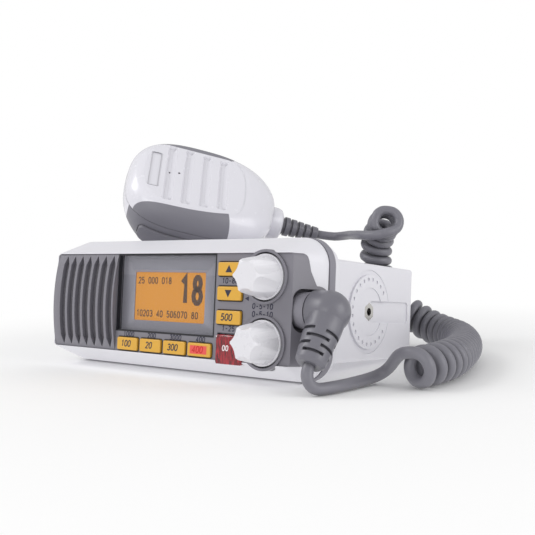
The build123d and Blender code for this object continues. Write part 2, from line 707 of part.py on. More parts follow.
# ---------------------------------------------------------------- speaker
def speaker_x():
    """Middle of the grille's slots."""
    return SLOT_LAST - (SLOT_COUNT - 1) * SLOT_PITCH / 2


def speaker_cloth():
    """Cloth that lies behind the bowed grille."""
    left = -PANEL_W / 2 + PANEL_T
    right = GRILLE_RIGHT - SLOT_RIB
    sheet = bow_solid(PANEL_T, left, right) - bow_solid(PANEL_T + CLOTH_T, left, right)
    return sheet & block(left, right, -BOW, PANEL_T, PANEL_BASE, PANEL_TOP)


def speaker_gasket():
    """Foam ring between the cloth and the speaker."""
    x = speaker_x()
    ring = rod_y(x, PANEL_MID, SPEAKER_R, -BOW, SPEAKER_Y) - rod_y(x, PANEL_MID, CONE_R, -BOW, SPEAKER_Y)
    return ring & rod_x(BOW_Y, PANEL_MID, BOW_R - PANEL_T - CLOTH_T, -PANEL_W / 2, GRILLE_RIGHT)


def speaker_basket():
    """Pressed basket: a rim, a bowl and the seat of the magnet."""
    y = SPEAKER_Y
    back = y + SPEAKER_DEPTH - MAGNET_T
    inner = back - BASKET_T
    bowl = y + BASKET_T
    profile = [(SPEAKER_R, y), (SPEAKER_R, y + 2.0), (SPEAKER_R - 2, y + 2.0), (MAGNET_R, back),
               (POLE_HOLE_R, back), (POLE_HOLE_R, inner), (MAGNET_R - 1, inner), (CONE_R - 1.8, bowl),
               (CONE_R, bowl), (CONE_R, y)]
    return spin_y(speaker_x(), PANEL_MID, profile)


def speaker_cone():
    """Paper cone with its surround and dust cap."""
    y = SPEAKER_Y
    r = CONE_R - FIT_GAP
    profile = [(r - inward, y + deep) for inward, deep in CONE_RIM]
    profile += [(outward, y + deep) for outward, deep in CONE_CAP]
    profile += [(r - inward, y + deep) for inward, deep in CONE_RIM_BACK]
    return spin_y(speaker_x(), PANEL_MID, profile)


def speaker_magnet():
    """Magnet behind the basket, with the pole that the voice coil runs on."""
    back = SPEAKER_Y + SPEAKER_DEPTH
    pole = rod_y(speaker_x(), PANEL_MID, 4.9, back - MAGNET_T - 4.0, back)
    return pole + rod_y(speaker_x(), PANEL_MID, MAGNET_R, back - MAGNET_T, back)


# ---------------------------------------------------------------- gasket, housing, tray, heat sink
def gasket():
    """Rubber gasket between the bezel and the housing's flange; the radio stands on its rear edge."""
    half = BEZEL_W / 2 + GASKET_PROUD
    low = -GASKET_PROUD
    high = BEZEL_H + GASKET_PROUD
    outline = rounded(-half, half, low, high, BEZEL_R + GASKET_PROUD)
    inner = rounded(-half + GASKET_IN, half - GASKET_IN, low + GASKET_IN, high - GASKET_IN,
                    BEZEL_R - GASKET_W)
    ring = prism_y(outline - inner, BEZEL_DEPTH, GASKET_BACK)
    for side in (-1, 1):
        for z in BEZEL_SCREW_Z:
            ring -= rod_y(side * BEZEL_SCREW_X, z, SCREW_R + FIT_GAP, BEZEL_DEPTH, GASKET_BACK)
    return ring


def tapered_body(inset, y0, y1):
    """The housing's drafted box between two depths, moved in by a wall."""
    lead = (y0 - FLANGE_BACK) * DRAFT
    width = BODY_W - 2 * inset - 2 * lead
    height = BODY_H - 2 * inset - 2 * lead
    outline = Pos(0, BODY_BASE + BODY_H / 2) * RectangleRounded(width, height, BODY_R)
    base = Plane((0, y0, 0), x_dir=(-1, 0, 0), z_dir=(0, 1, 0)) * outline
    return extrude(base, amount=y1 - y0, taper=BODY_DRAFT)


def housing():
    """White housing: rounded flange, drafted box, bracket pivots and a rear window."""
    half = BEZEL_W / 2 - FLANGE_INSET
    outline = rounded(-half, half, FLANGE_DROP, BEZEL_H - FLANGE_DROP, BEZEL_R)
    flange = prism_y(outline, GASKET_BACK, FLANGE_BACK)
    flange = fillet(flange.faces().sort_by(Axis.Y)[-1].edges(), FLANGE_ROUND)
    body = tapered_body(0, FLANGE_BACK, BODY_BACK)
    body = fillet(body.faces().sort_by(Axis.Y)[-1].edges(), REAR_ROUND)
    shell = flange + body
    shell -= tapered_body(BODY_WALL, GASKET_BACK, REAR_INNER)
    middle = BODY_BASE + BODY_H / 2
    window = rounded(-REAR_WINDOW_W / 2, REAR_WINDOW_W / 2, middle - REAR_WINDOW_H / 2,
                     middle + REAR_WINDOW_H / 2, BODY_R)
    shell -= prism_y(window, REAR_INNER, BODY_BACK)
    for side in (-1, 1):
        shell = bracket_pivot(shell, side)
        for z in BEZEL_SCREW_Z:
            shell -= rod_y(side * BEZEL_SCREW_X, z, SCREW_R + FIT_GAP, GASKET_BACK, FLANGE_BACK)
        for z in rear_screw_heights():
            shell -= rod_y(side * rear_screw_x(), z, SCREW_R + FIT_GAP, REAR_INNER, BODY_BACK)
    return shell


def rod_side(side, y, z, r, x0, x1):
    """A cylinder along X on the right (side 1) or the left (side -1), between two distances out."""
    if side > 0:
        return rod_x(y, z, r, x0, x1)
    return rod_x(y, z, r, -x1, -x0)


def bracket_pivot(shell, side):
    """The round boss that a mounting bracket turns on: disc, detents, hub, channel and insert seat."""
    face = DISC_FACE_X
    wall_x = BODY_W / 2 - (PIVOT_Y - FLANGE_BACK) * DRAFT
    shell += rod_side(side, PIVOT_Y, PIVOT_Z, PIVOT_BOSS_R, face - INSERT_LENGTH - 1.5, face - 1)
    shell -= rod_side(side, PIVOT_Y, PIVOT_Z, DISC_RELIEF_R, wall_x - RELIEF_DEPTH, face + 2)
    shell += rod_side(side, PIVOT_Y, PIVOT_Z, DISC_R, wall_x - RELIEF_DEPTH - 0.5, face)
    slot_y0 = PIVOT_Y + HUB_R
    low = PIVOT_Z - CHANNEL_W / 2
    high = PIVOT_Z + CHANNEL_W / 2
    end_x = BODY_W / 2 - (CHANNEL_END - FLANGE_BACK) * DRAFT
    inner = min(end_x - CHANNEL_DEPTH, face - HUB_STEP)
    outline = rounded(slot_y0 - CHANNEL_W, CHANNEL_END, low, high, 2.0)
    shell -= prism_x(outline, *sorted((side * inner, side * (face + 2))))
    shell -= rod_side(side, PIVOT_Y, PIVOT_Z, HUB_R, face - HUB_STEP, face + 1)
    for index in range(DETENT_COUNT):
        angle = 2 * pi * (index + 0.5) / DETENT_COUNT
        y = PIVOT_Y + DETENT_RING_R * cos(angle)
        z = PIVOT_Z + DETENT_RING_R * sin(angle)
        if y > PIVOT_Y and low - DETENT_R < z < high + DETENT_R:
            continue
        shell -= rod_side(side, y, z, DETENT_R, face - DETENT_DEPTH, face + 1)
    seat = Pos(PIVOT_Y, PIVOT_Z) * RegularPolygon(INSERT_AF / 2, 6, major_radius=False, rotation=30)
    outer = face - HUB_STEP
    return shell - prism_x(seat, *sorted((side * (outer - INSERT_LENGTH), side * (face + 1))))


def bracket_insert(side):
    """Hexagonal metal insert with the bracket knob's thread."""
    outer = DISC_FACE_X - HUB_STEP
    outline = RegularPolygon(INSERT_AF / 2, 6, major_radius=False, rotation=30) - Circle(INSERT_HOLE_R)
    return prism_x(Pos(PIVOT_Y, PIVOT_Z) * outline, *sorted((side * (outer - INSERT_LENGTH), side * outer)))


def rear_screw_x():
    """Screws beside the rear window."""
    return REAR_WINDOW_W / 2 + SCREW_HEAD_R + 0.6


def rear_screw_heights():
    """Heights of the screws beside the rear window."""
    middle = BODY_BASE + BODY_H / 2
    return (middle - REAR_WINDOW_H / 2 + 1.0, middle + REAR_WINDOW_H / 2 - 1.0)


def tray():
    """Sheet tray under the main board, with the posts that the board is screwed to."""
    sheet = block(-TRAY_W / 2, TRAY_W / 2, TRAY_FRONT, PLATE_FRONT, TRAY_Z, TRAY_Z + TRAY_T)
    for x, y in post_places():
        sheet += Pos(x, y, (TRAY_Z + BOARD_Z) / 2) * Cylinder(POST_R, BOARD_Z - TRAY_Z)
        sheet -= Pos(x, y, BOARD_Z - 2.0) * Cylinder(SCREW_R, 4.0)
    return sheet


def heat_sink():
    """Cast rear plate with the heat sink's fins, which stand out of the housing's window."""
    middle = BODY_BASE + BODY_H / 2
    plate = tapered_body(BODY_WALL + MOVE_GAP, PLATE_FRONT, REAR_INNER)
    half_w = REAR_WINDOW_W / 2 - MOVE_GAP
    half_h = REAR_WINDOW_H / 2 - MOVE_GAP
    block_z = (middle - half_h, middle + half_h)
    sink = prism_y(rounded(-half_w, half_w, *block_z, BODY_R), PLATE_FRONT, SINK_BACK)
    count = int((2 * half_w - FIN_T) / FIN_PITCH)
    first = -count * FIN_PITCH / 2
    for index in range(count + 1):
        x = first + index * FIN_PITCH
        if SOCKET_PAD[0] < x < SOCKET_PAD[1]:
            continue
        sink += block(x - FIN_T / 2, x + FIN_T / 2, SINK_BACK, SINK_BACK + FIN_HEIGHT, *block_z)
    whole = plate + sink
    whole -= rod_y(ANTENNA_X, middle, ANTENNA_R - 1.0, PLATE_FRONT - 1, SINK_BACK)
    whole -= rod_y(GLAND_X, middle, GLAND_R, PLATE_FRONT - 1, SINK_BACK)
    for side in (-1, 1):
        for z in rear_screw_heights():
            whole -= rod_y(side * rear_screw_x(), z, SCREW_R, PLATE_FRONT, REAR_INNER)
    return whole


def post_places():
    """Where the main board is screwed down."""
    front = TRAY_FRONT + 6.0
    rear = PLATE_FRONT - BOARD_REAR_GAP - 6.0
    return [(side * (BOARD_W / 2 - 5.0), y) for side in (-1, 1) for y in (front, rear)]


def main_board():
    """Main circuit board, flat over the tray."""
    rear = PLATE_FRONT - BOARD_REAR_GAP
    board = block(-BOARD_W / 2, BOARD_W / 2, TRAY_FRONT, rear, BOARD_Z, BOARD_Z + BOARD_T)
    for x, y in post_places():
        board -= Pos(x, y, BOARD_Z) * Cylinder(SCREW_R + FIT_GAP, 4 * BOARD_T)
    return board


def shield_can():
    """Tinned can over the receiver."""
    z = BOARD_Z + BOARD_T
    left, right, front, rear = CAN_SIDES
    can = block(left, right, front, rear, z, z + CAN_H)
    return can - block(left + CAN_T, right - CAN_T, front + CAN_T, rear - CAN_T, z, z + CAN_H - CAN_T)


def power_module():
    """Transmitter module, flat against the heat sink's rear plate."""
    z = BOARD_Z + BOARD_T
    left, right = MODULE_SIDES
    return block(left, right, PLATE_FRONT - MODULE_DEPTH, PLATE_FRONT, z, z + MODULE_H)


def antenna_socket():
    """Panel socket for the aerial's plug: square flange, threaded barrel and centre contact."""
    z = BODY_BASE + BODY_H / 2
    half = ANTENNA_FLANGE / 2
    socket = prism_y(rounded(ANTENNA_X - half, ANTENNA_X + half, z - half, z + half, 1.5), SINK_BACK,
                     SINK_BACK + 1.6)
    socket += rod_y(ANTENNA_X, z, ANTENNA_R, SINK_BACK + 1.6, SINK_BACK + ANTENNA_LENGTH)
    socket += rod_y(ANTENNA_X, z, ANTENNA_R - 1.0 - FIT_GAP, PLATE_FRONT - 4, SINK_BACK)
    socket -= rod_y(ANTENNA_X, z, ANTENNA_R - 2.0, SINK_BACK + 4, SINK_BACK + ANTENNA_LENGTH)
    socket += rod_y(ANTENNA_X, z, 4.2, SINK_BACK + 4, SINK_BACK + ANTENNA_LENGTH - 1)
    return socket - rod_y(ANTENNA_X, z, 2.0, SINK_BACK + 5, SINK_BACK + ANTENNA_LENGTH)


def lead_gland():
    """Rubber gland that the supply lead would come out of."""
    z = BODY_BASE + BODY_H / 2
    lip = GLAND_R + GLAND_LIP
    inner = PLATE_FRONT - GLAND_LIP
    profile = [(GLAND_HOLE_R, inner), (lip, inner), (lip, PLATE_FRONT), (GLAND_R, PLATE_FRONT),
               (GLAND_R, SINK_BACK), (lip, SINK_BACK), (GLAND_R + 1.0, SINK_BACK + 2 * GLAND_LIP),
               (GLAND_HOLE_R + 1.6, SINK_BACK + GLAND_LENGTH), (GLAND_HOLE_R, SINK_BACK + GLAND_LENGTH)]
    return spin_y(GLAND_X, z, profile)


def screw_y(x, z, head_y, tip_y):
    """A screw along Y: domed head behind head_y and shank to tip_y."""
    top = head_y + SCREW_HEAD_T
    shoulder = (SCREW_HEAD_R * 0.85, head_y + SCREW_HEAD_T * 0.7)
    head = [(0, head_y), (SCREW_HEAD_R, head_y), shoulder, (SCREW_HEAD_R * 0.4, top), (0, top)]
    return spin_y(x, z, head) + rod_y(x, z, SCREW_R, tip_y, head_y)


def bezel_screws():
    """Four screws through the flange and the gasket into the bezel."""
    tip = BEZEL_DEPTH - BEZEL_BOSS_LENGTH + 2
    return [screw_y(side * BEZEL_SCREW_X, z, FLANGE_BACK, tip) for side in (-1, 1) for z in BEZEL_SCREW_Z]


def rear_screws():
    """Four screws through the housing's rear into the heat sink."""
    return [screw_y(side * rear_screw_x(), z, BODY_BACK, PLATE_FRONT + 0.5)
            for side in (-1, 1) for z in rear_screw_heights()]


def board_screws():
    """Screws of the main board and of the front board."""
    top = BOARD_Z + BOARD_T
    screws = []
    for x, y in post_places():
        head = Pos(x, y, top + SCREW_HEAD_T / 2) * Cylinder(SCREW_HEAD_R, SCREW_HEAD_T)
        screws.append(head + Pos(x, y, top - 2.5) * Cylinder(SCREW_R, 5.0))
    back = FRONT_BOARD_Y + BOARD_T
    screws += [screw_y(x, z, back, FRONT_BOARD_Y - 4.5) for x, z in front_screw_places()]
    return screws


def mic_jack():
    """Threaded socket that the microphone's plug screws into."""
    body = rod_x(JACK_Y, JACK_Z, JACK_R, JACK_INNER, RECESS_FLOOR_X + JACK_PROUD)
    inner, half = CARRIER
    body += block(inner, JACK_INNER, TUBE_BACK + MOVE_GAP, JACK_Y + CARRIER_BACK, JACK_Z - half,
                  JACK_Z + half)
    return body - rod_x(JACK_Y, JACK_Z, JACK_R - 1.8, RECESS_FLOOR_X - 2, RECESS_FLOOR_X + JACK_PROUD)


# ---------------------------------------------------------------- microphone, in its own frame
def mic_outline(left, right, upper, lower):
    """Outline of the microphone: a superellipse whose ends and sides each have their own reach."""
    points = []
    for index in range(MIC_POINTS):
        angle = 2 * pi * index / MIC_POINTS
        c, s = cos(angle), sin(angle)
        reach = right - MIC_MIDDLE if c > 0 else left - MIC_MIDDLE
        half = upper if s > 0 else -lower
        u = MIC_MIDDLE + reach * abs(c) ** (2 / MIC_SQUARENESS)
        points.append((u, half * abs(s) ** (2 / MIC_SQUARENESS)))
    return make_face(Spline(*points, periodic=True))


def mic_form(levels, end, inset):
    """Loft one shell's outside, or its inside when moved in by a wall.

    Each level is a share of the way from the parting line to the shell's end, with how far the outline
    draws in there at the left, at the right, at the upper side and at the lower side.
    """
    faces = []
    reach = end - MIC_PART - (inset if end > MIC_PART else -inset)
    for share, left, right, upper, lower in levels:
        outline = mic_outline(MIC_LEFT + left + inset, MIC_RIGHT - right - inset,
                              MIC_HALF - upper - inset, MIC_HALF - lower - inset)
        faces.append(Pos(0, 0, MIC_PART + share * reach) * outline)
    return loft(faces)


def mic_front_form(inset):
    """Front shell: sloping sides up to a flat face."""
    return mic_form(MIC_FRONT_LEVELS, 0, inset)


def mic_rear_form(inset):
    """Rear shell: sides that round over to the back, fuller on the side with the push-to-talk key."""
    return mic_form(MIC_REAR_LEVELS, MIC_BACK, inset)


def grip_region(side, inner):
    """Where a grip lies on the side (1 or -1), seen from the face: an arc inside and slanted ends."""
    outer = MIC_HALF + 2
    left = (GRIP_LEFT, side * (inner - GRIP_SAG))
    right = (GRIP_RIGHT, side * (inner - GRIP_SAG))
    edge = ThreePointArc(left, (MIC_MIDDLE - 6, side * inner), right)
    rest = Polyline(right, (GRIP_RIGHT + 4.0, side * outer), (GRIP_LEFT - 4.0, side * outer), left)
    return make_face(edge + rest)


def mic_front_shell():
    """White front shell: ribbed face with a badge seat and two sound holes."""
    cuts = [extrude(Pos(u, 0, 0) * RectangleRounded(RIB_W, 2 * half, RIB_CORNER), amount=-RIB_DEPTH,
                    taper=RIB_SLOPE) for u, half in zip(RIB_U, RIB_HALF)]
    cuts.append(extrude(Pos(BADGE_U, 0, 0) * badge_outline(FIT_GAP), amount=-BADGE_T))
    cuts += [Pos(u, SOUND_HOLE_V, -MIC_WALL) * Cylinder(SOUND_HOLE_R, 4 * MIC_WALL) for u in sound_holes()]
    under_grip = mic_front_form(MIC_GRIP_T)
    cuts += [front_grip_block(side) - under_grip for side in (-1, 1)]
    return mic_front_form(0) - cuts - mic_front_form(MIC_WALL)


def sound_holes():
    """Places of the two sound holes along the microphone."""
    return (RIB_U[0], RIB_U[0] + SOUND_HOLE_STEP)


def front_grip_block(side):
    """The part of the front shell that a grip covers."""
    return extrude(Pos(0, 0, MIC_PART) * grip_region(side, GRIP_INNER), amount=1 - MIC_PART)


def badge_outline(grow):
    """The plain name plate's outline."""
    return RectangleRounded(BADGE_W + 2 * grow, BADGE_L + 2 * grow, 1.0)


def mic_front_grip(side):
    """Grey grip moulded into the front shell's side."""
    return (mic_front_form(0) & front_grip_block(side)) - mic_front_form(MIC_GRIP_T)


def mic_rear_shell():
    """Rear shell, white where no grip covers it, with the collar's seat and the key's opening."""
    shell = mic_rear_form(0) - mic_rear_form(MIC_WALL)
    for side in (-1, 1):
        shell -= rear_grip_block(side) - mic_rear_form(MIC_GRIP_T)
    shell -= collar_bore(COLLAR_R + FIT_GAP)
    shell -= ptt_prism(MOVE_GAP)
    shell -= Pos(MIC_MIDDLE, 0, MIC_BACK) * Cylinder(STUD_SPIGOT_R, 4 * MIC_WALL)
    shell -= Pos(0, 0, MIC_PART - MIC_SEAM / 2) * Box(200, 200, MIC_SEAM)
    return shell


def rear_grip_block(side):
    """The part of the rear shell that a grip covers."""
    region = grip_region(side, GRIP_INNER - GRIP_REAR_IN)
    return extrude(Pos(0, 0, MIC_BACK - 1) * region, amount=MIC_PART - MIC_BACK + 1 - MIC_SEAM)


def mic_rear_grip(side):
    """Grey grip moulded round the rear shell's side."""
    grip = (mic_rear_form(0) & rear_grip_block(side)) - mic_rear_form(MIC_GRIP_T)
    if side < 0:
        grip -= ptt_prism(MOVE_GAP)
    return grip


def ptt_prism(grow):
    """The push-to-talk key's shape, running through the lower side."""
    outline = Pos(PTT_U, PTT_N) * RectangleRounded(PTT_L + 2 * grow, PTT_W + 2 * grow, PTT_R + grow)
    return extrude(Plane.XZ.offset(PTT_ROOT) * outline, amount=MIC_HALF + 4 - PTT_ROOT)


def ptt_key():
    """Push-to-talk key: its face follows the shell and stands proud of it, its flange is inside."""
    swollen = mic_rear_form(-PTT_PROUD)
    key_solid = ptt_prism(0) & swollen
    flange = Pos(PTT_U, PTT_N) * RectangleRounded(PTT_L + 2 * PTT_FLANGE, PTT_W + 2 * PTT_FLANGE, PTT_R)
    return key_solid + extrude(Plane.XZ.offset(PTT_ROOT - PTT_FLANGE_T) * flange, amount=PTT_FLANGE_T)


def collar_bore(r):
    """A rod on the cord's axis, from inside the shell to the collar's end."""
    return Plane((COLLAR_U - 14, CABLE_V, CABLE_N), z_dir=(1, 0, 0)) * Cylinder(
        r, 14 + COLLAR_L, align=(Align.CENTER, Align.CENTER, Align.MIN))


def spin_cable(points):
    """Revolve an outline of (radius, distance along the cord's axis) about that axis."""
    outline = make_face(Polyline(*[(r, d, 0) for r, d in points], close=True))
    place = Plane((0, CABLE_V, CABLE_N), x_dir=(0, 1, 0), z_dir=(0, 0, -1))
    return place * revolve(outline, Axis.Y)


def mic_collar():
    """White collar at the microphone's end, round the strain relief."""
    end = COLLAR_U + COLLAR_L
    inner = COLLAR_U - 12
    return spin_cable([(SLEEVE_R + FIT_GAP, inner), (COLLAR_R - 2, inner), (COLLAR_R - 2, inner + 2),
                       (COLLAR_R, inner + 2), (COLLAR_R, end - 4), (COLLAR_R - 0.8, end - 1.2),
                       (COLLAR_R - 2.6, end), (SLEEVE_R + FIT_GAP, end)])


def mic_sleeve():
    """Ribbed strain relief."""
    start = COLLAR_U - 12
    root = COLLAR_U + COLLAR_L
    points = [(CORD_R, start), (SLEEVE_R, start), (SLEEVE_R, root + 1.0)]
    pitch = (SLEEVE_L - 2.0) / SLEEVE_RIDGES
    for index in range(SLEEVE_RIDGES):
        r = SLEEVE_R + (SLEEVE_TIP_R - SLEEVE_R) * index / SLEEVE_RIDGES
        d = root + 1.0 + index * pitch
        points += [(r - 1.1, d + 0.4), (r - 1.1, d + 1.4), (r, d + 1.8), (r - 0.1, d + pitch)]
    points += [(SLEEVE_TIP_R, root + SLEEVE_L), (CORD_R, root + SLEEVE_L)]
    return spin_cable(points)


def mic_stud():
    """Hang-up stud on the microphone's back."""
    spigot = STUD_SPIGOT_R - FIT_GAP
    neck = Pos(MIC_MIDDLE, 0, MIC_BACK - STUD_HEIGHT / 2 + 1) * Cylinder(spigot, STUD_HEIGHT + 6)
    neck += Pos(MIC_MIDDLE, 0, MIC_BACK - STUD_HEIGHT / 2) * Cylinder(STUD_NECK_R, STUD_HEIGHT)
    head = Pos(MIC_MIDDLE, 0, MIC_BACK - STUD_HEIGHT - STUD_HEAD_T / 2) * Cylinder(STUD_R, STUD_HEAD_T)
    return neck + fillet(head.edges().filter_by(GeomType.CIRCLE), STUD_HEAD_T / 3)


def mic_board():
    """Small circuit board at the parting line."""
    return Pos(MIC_MIDDLE - 4, 2, MIC_BOARD_N) * Box(MIC_BOARD_L, MIC_BOARD_W, BOARD_T)


def mic_capsule():
    """Microphone capsule behind the sound holes."""
    top = -MIC_WALL - 0.3
    height = top - MIC_BOARD_N - BOARD_T / 2
    return Pos(RIB_U[0] + 2.8, 1.0, top - height / 2) * Cylinder(4.8, height)


def ptt_switch():
    """Switch that the push-to-talk key presses, on the board's edge."""
    low = MIC_BOARD_N - BOARD_T / 2
    near = PTT_ROOT - PTT_FLANGE_T - PTT_TRAVEL - SWITCH_GAP
    switch = Box(SWITCH_W, SWITCH_W / 2, SWITCH_W, align=(Align.CENTER, Align.MIN, Align.MAX))
    return Pos(PTT_U, -near, low) * switch


def mic_screws():
    """Three screws in the microphone's back."""
    screws = []
    for u, v in MIC_SCREWS:
        head = Pos(u, v, MIC_BACK - MIC_SCREW_HEAD_T / 4) * Cylinder(SCREW_HEAD_R, MIC_SCREW_HEAD_T)
        screws.append(head + Pos(u, v, MIC_BACK + MIC_SCREW_L / 2 - 0.3) * Cylinder(SCREW_R, MIC_SCREW_L))
    return screws


def mic_rear_finish(shell):
    """Seat the back's screws in the rear shell."""
    for screw in mic_screws():
        shell -= screw
    return shell


# ---------------------------------------------------------------- plug and boot
def plug_ring():
    """Coupling ring of the microphone's plug, screwed on to the socket."""
    start = RECESS_FLOOR_X + JACK_PROUD + FIT_GAP
    ring = rod_x(JACK_Y, JACK_Z, PLUG_RING_R, start, SEAM_X - SEAM_GAP)
    return ring + rod_x(JACK_Y, JACK_Z, PLUG_RING_R - 1.5, SEAM_X - SEAM_GAP, SEAM_X)


def neck_plane():
    """Frame of the boot's neck: origin in the elbow, Z along the neck."""
    lean = radians(NECK_TURN)
    return Plane((ELBOW_X, JACK_Y, JACK_Z), x_dir=(1, 0, 0), z_dir=(0, -sin(lean), -cos(lean)))


def plug_boot():
    """Elbow boot: barrel, round elbow and a tapering neck with rows of slots that let it bend."""
    step = BEZEL_W / 2 + MOVE_GAP
    boot = rod_x(JACK_Y, JACK_Z, ELBOW_R - 0.1, step, ELBOW_X)
    far = ELBOW_X + ELBOW_R
    boot += (Pos(ELBOW_X, JACK_Y, JACK_Z) * Sphere(ELBOW_R)) & rod_x(JACK_Y, JACK_Z, ELBOW_R, step, far)
    boot += rod_x(JACK_Y, JACK_Z, PLUG_RING_R, SEAM_X, step)
    lip = 0.8
    outline = make_face(Polyline((0, 0), (NECK_R, 0), (NECK_R, NECK_STRAIGHT),
                                 (NECK_TIP_R + lip, NECK_L - 2 * lip), (NECK_TIP_R - lip, NECK_L),
                                 (0, NECK_L), close=True))
    neck = revolve(Plane.XZ * outline, Axis.Z)
    step_angle = 360 / NECK_SLOTS
    for row in range(NECK_ROWS):
        along = NECK_SLOT_START + NECK_SLOT_PITCH * row
        radius = NECK_R + (NECK_TIP_R - NECK_R) * (along - NECK_STRAIGHT) / (NECK_L - NECK_STRAIGHT)
        ring = Cylinder(radius + 2, NECK_SLOT_W) - Cylinder(radius - NECK_SLOT_DEPTH, NECK_SLOT_W)
        groove = Pos(0, 0, along) * ring
        for copy in range(NECK_SLOTS):
            wedge = Rot(0, 0, step_angle * (copy + row % 2 / 2)) * groove_wedge(radius + 2)
            neck -= groove & (Pos(0, 0, along) * wedge)
    boot += neck_plane() * neck
    reach = 2 * NECK_L
    return boot & block(SEAM_X, far, JACK_Y - reach, JACK_Y + reach, JACK_Z - reach, JACK_Z + reach)


def groove_wedge(reach):
    """A sector that keeps one slot of a row."""
    half = radians(NECK_SLOT_ANGLE) / 2
    far = reach * 1.6
    points = [(0, 0), (far * cos(half), -far * sin(half)), (far * cos(half), far * sin(half))]
    return extrude(Pos(0, 0, -2) * make_face(Polyline(*points, close=True)), amount=4)


# ---------------------------------------------------------------- standing the radio up
def stance():
    """Tilt in degrees and lift that set the gasket's rear edge and the housing's rear edge on the table."""
    low = BODY_BASE + BODY_LENGTH * DRAFT
    across = BODY_BACK - REAR_ROUND - GASKET_BACK
    rise = low + REAR_ROUND + GASKET_PROUD
    tilt = atan2(rise, across) - asin(REAR_ROUND / hypot(across, rise))
    lift = GASKET_BACK * sin(tilt) + GASKET_PROUD * cos(tilt)
    return degrees(tilt), lift


def stand(shape):
    """Move a piece from the set frame to the standing frame."""
    tilt, lift = stance()
    return Pos(0, -MIDDLE_Y, lift) * Rot(-tilt, 0, 0) * shape


# ---------------------------------------------------------------- cord, in the standing frame
# Where the straight cord runs: out of the boot, down to the table, back along it and up to the coil.
LEAD_ROUTE = ((100.5, -77.6, 13.9), (100.6, -79.7, 11.2), (101.0, -80.0, 7.8), (101.9, -78.5, 4.74),
              (103.2, -75.6, 2.95), (105.8, -69.1, 2.95), (107.5, -60.6, 2.95), (108.5, -49.6, 2.95),
              (109.4, -38.9, 3.2), (112.6, -31.9, 5.0), (116.5, -29.7, 8.2), (120.5, -30.5, 12.4),
              (124.9, -32.3, 16.0), (129.8, -35.3, 17.6))
# Axis of the coil: back along the table, round the radio's rear corner and up behind it.
COIL_ROUTE = ((134.6, -38.4, 10.25), (137.3, -21.1, 10.25), (134.0, 2.4, 10.25), (123.5, 37.4, 10.25),
              (107.5, 67.4, 10.3), (92.0, 81.7, 11.0), (75.5, 88.2, 15.0), (62.5, 86.5, 25.0),
              (55.0, 81.5, 38.5), (52.0, 76.9, 52.0), (52.0, 73.5, 65.0), (55.0, 69.2, 76.0),
              (58.5, 62.9, 84.0))
ARC_SHARE = 0.45         # part of the shorter run beside a corner that its arc may take
COIL_BREAKS = (3, 7)     # runs in whose middle one stretch of the coil ends and the next begins
# From the coil's end to the microphone.
TAIL_ROUTE = ((51.5, 68.7, 77.6), (44.0, 75.4, 75.2), (35.0, 83.4, 73.6), (24.0, 92.4, 72.2),
              (12.0, 96.0, 71.0), (2.3, 92.6, 70.5), (-5.0, 85.0, 72.7))


def corner_radii(points):
    """Largest fair arc at each inner point: a share of the shorter run over the tangent of half the turn."""
    radii = []
    for before, corner, after in zip(points, points[1:], points[2:]):
        run_in = Vector(*corner) - Vector(*before)
        run_out = Vector(*after) - Vector(*corner)
        half_turn = radians(run_in.get_angle(run_out)) / 2
        radii.append(ARC_SHARE * min(run_in.length, run_out.length) / tan(half_turn))
    return radii


def tube(name, points, radius):
    """A round tube along straight runs joined by tangent arcs."""
    radii = corner_radii(points)
    path = FilletPolyline(*points, radius=radii)
    section = Plane(path @ 0, z_dir=path % 0) * Circle(radius)
    solid = sweep(section, path=path)
    expected = pi * radius ** 2 * path.length
    print(f"{name}: length {path.length:.1f}, volume {solid.volume:.0f} of {expected:.0f}, radii",
          [round(r, 1) for r in radii])
    return solid


def coil_stretches():
    """The coil's outer shape in stretches that meet face to face in the middle of a run."""
    points = [COIL_ROUTE[0]]
    stretches = []
    for index, (start, end) in enumerate(zip(COIL_ROUTE, COIL_ROUTE[1:])):
        if index in COIL_BREAKS:
            middle = tuple((a + b) / 2 for a, b in zip(start, end))
            stretches.append(points + [middle])
            points = [middle]
        points.append(end)
    return stretches + [points]


# ---------------------------------------------------------------- all pieces
PLUG_PIECES = ("plug_ring", "plug_boot")    # on the cord, so not counted in the radio's own size


def radio_pieces():
    """Every piece of the radio and of the plug, in the set frame."""
    pieces = {
        "bezel": bezel(), "front_panel": front_panel(), "lens": lens(), "lens_mask": lens_mask(),
        "display_module": prism_y(lcd_outline(LCD_MARGIN), MASK_BACK, MASK_BACK + LCD_T),
        "display_frame": display_frame(), "front_board": front_board(), "key_mat": key_mat(),
        "distress_cover": distress_cover(), "distress_key": distress_key(), "cover_pin": hinge_pin(),
        "pot_nuts": pot_nuts(), "speaker_cloth": speaker_cloth(), "speaker_gasket": speaker_gasket(),
        "speaker_basket": speaker_basket(), "speaker_cone": speaker_cone(),
        "speaker_magnet": speaker_magnet(), "gasket": gasket(), "housing": housing(),
        "tray": tray(), "heat_sink": heat_sink(), "main_board": main_board(), "shield_can": shield_can(),
        "power_module": power_module(), "antenna_socket": antenna_socket(), "lead_gland": lead_gland(),
        "screws": bezel_screws() + rear_screws() + board_screws(),
        "bracket_inserts": [bracket_insert(1), bracket_insert(-1)], "pots": [pot(z) for z in KNOB_Z],
        "mic_jack": mic_jack(), "plug_ring": plug_ring(), "plug_boot": plug_boot(),
    }
    names = ("key_1", "key_2", "key_3", "key_4", "key_up", "key_down", "key_enter")
    for name, (x, z) in zip(names, key_places()):
        pieces[name] = key(x, z)
    for name, z in zip(("volume", "squelch"), KNOB_Z):
        pieces[name + "_knob"] = knob(z)
        pieces[name + "_shaft"] = knob_shaft(z)
    return pieces


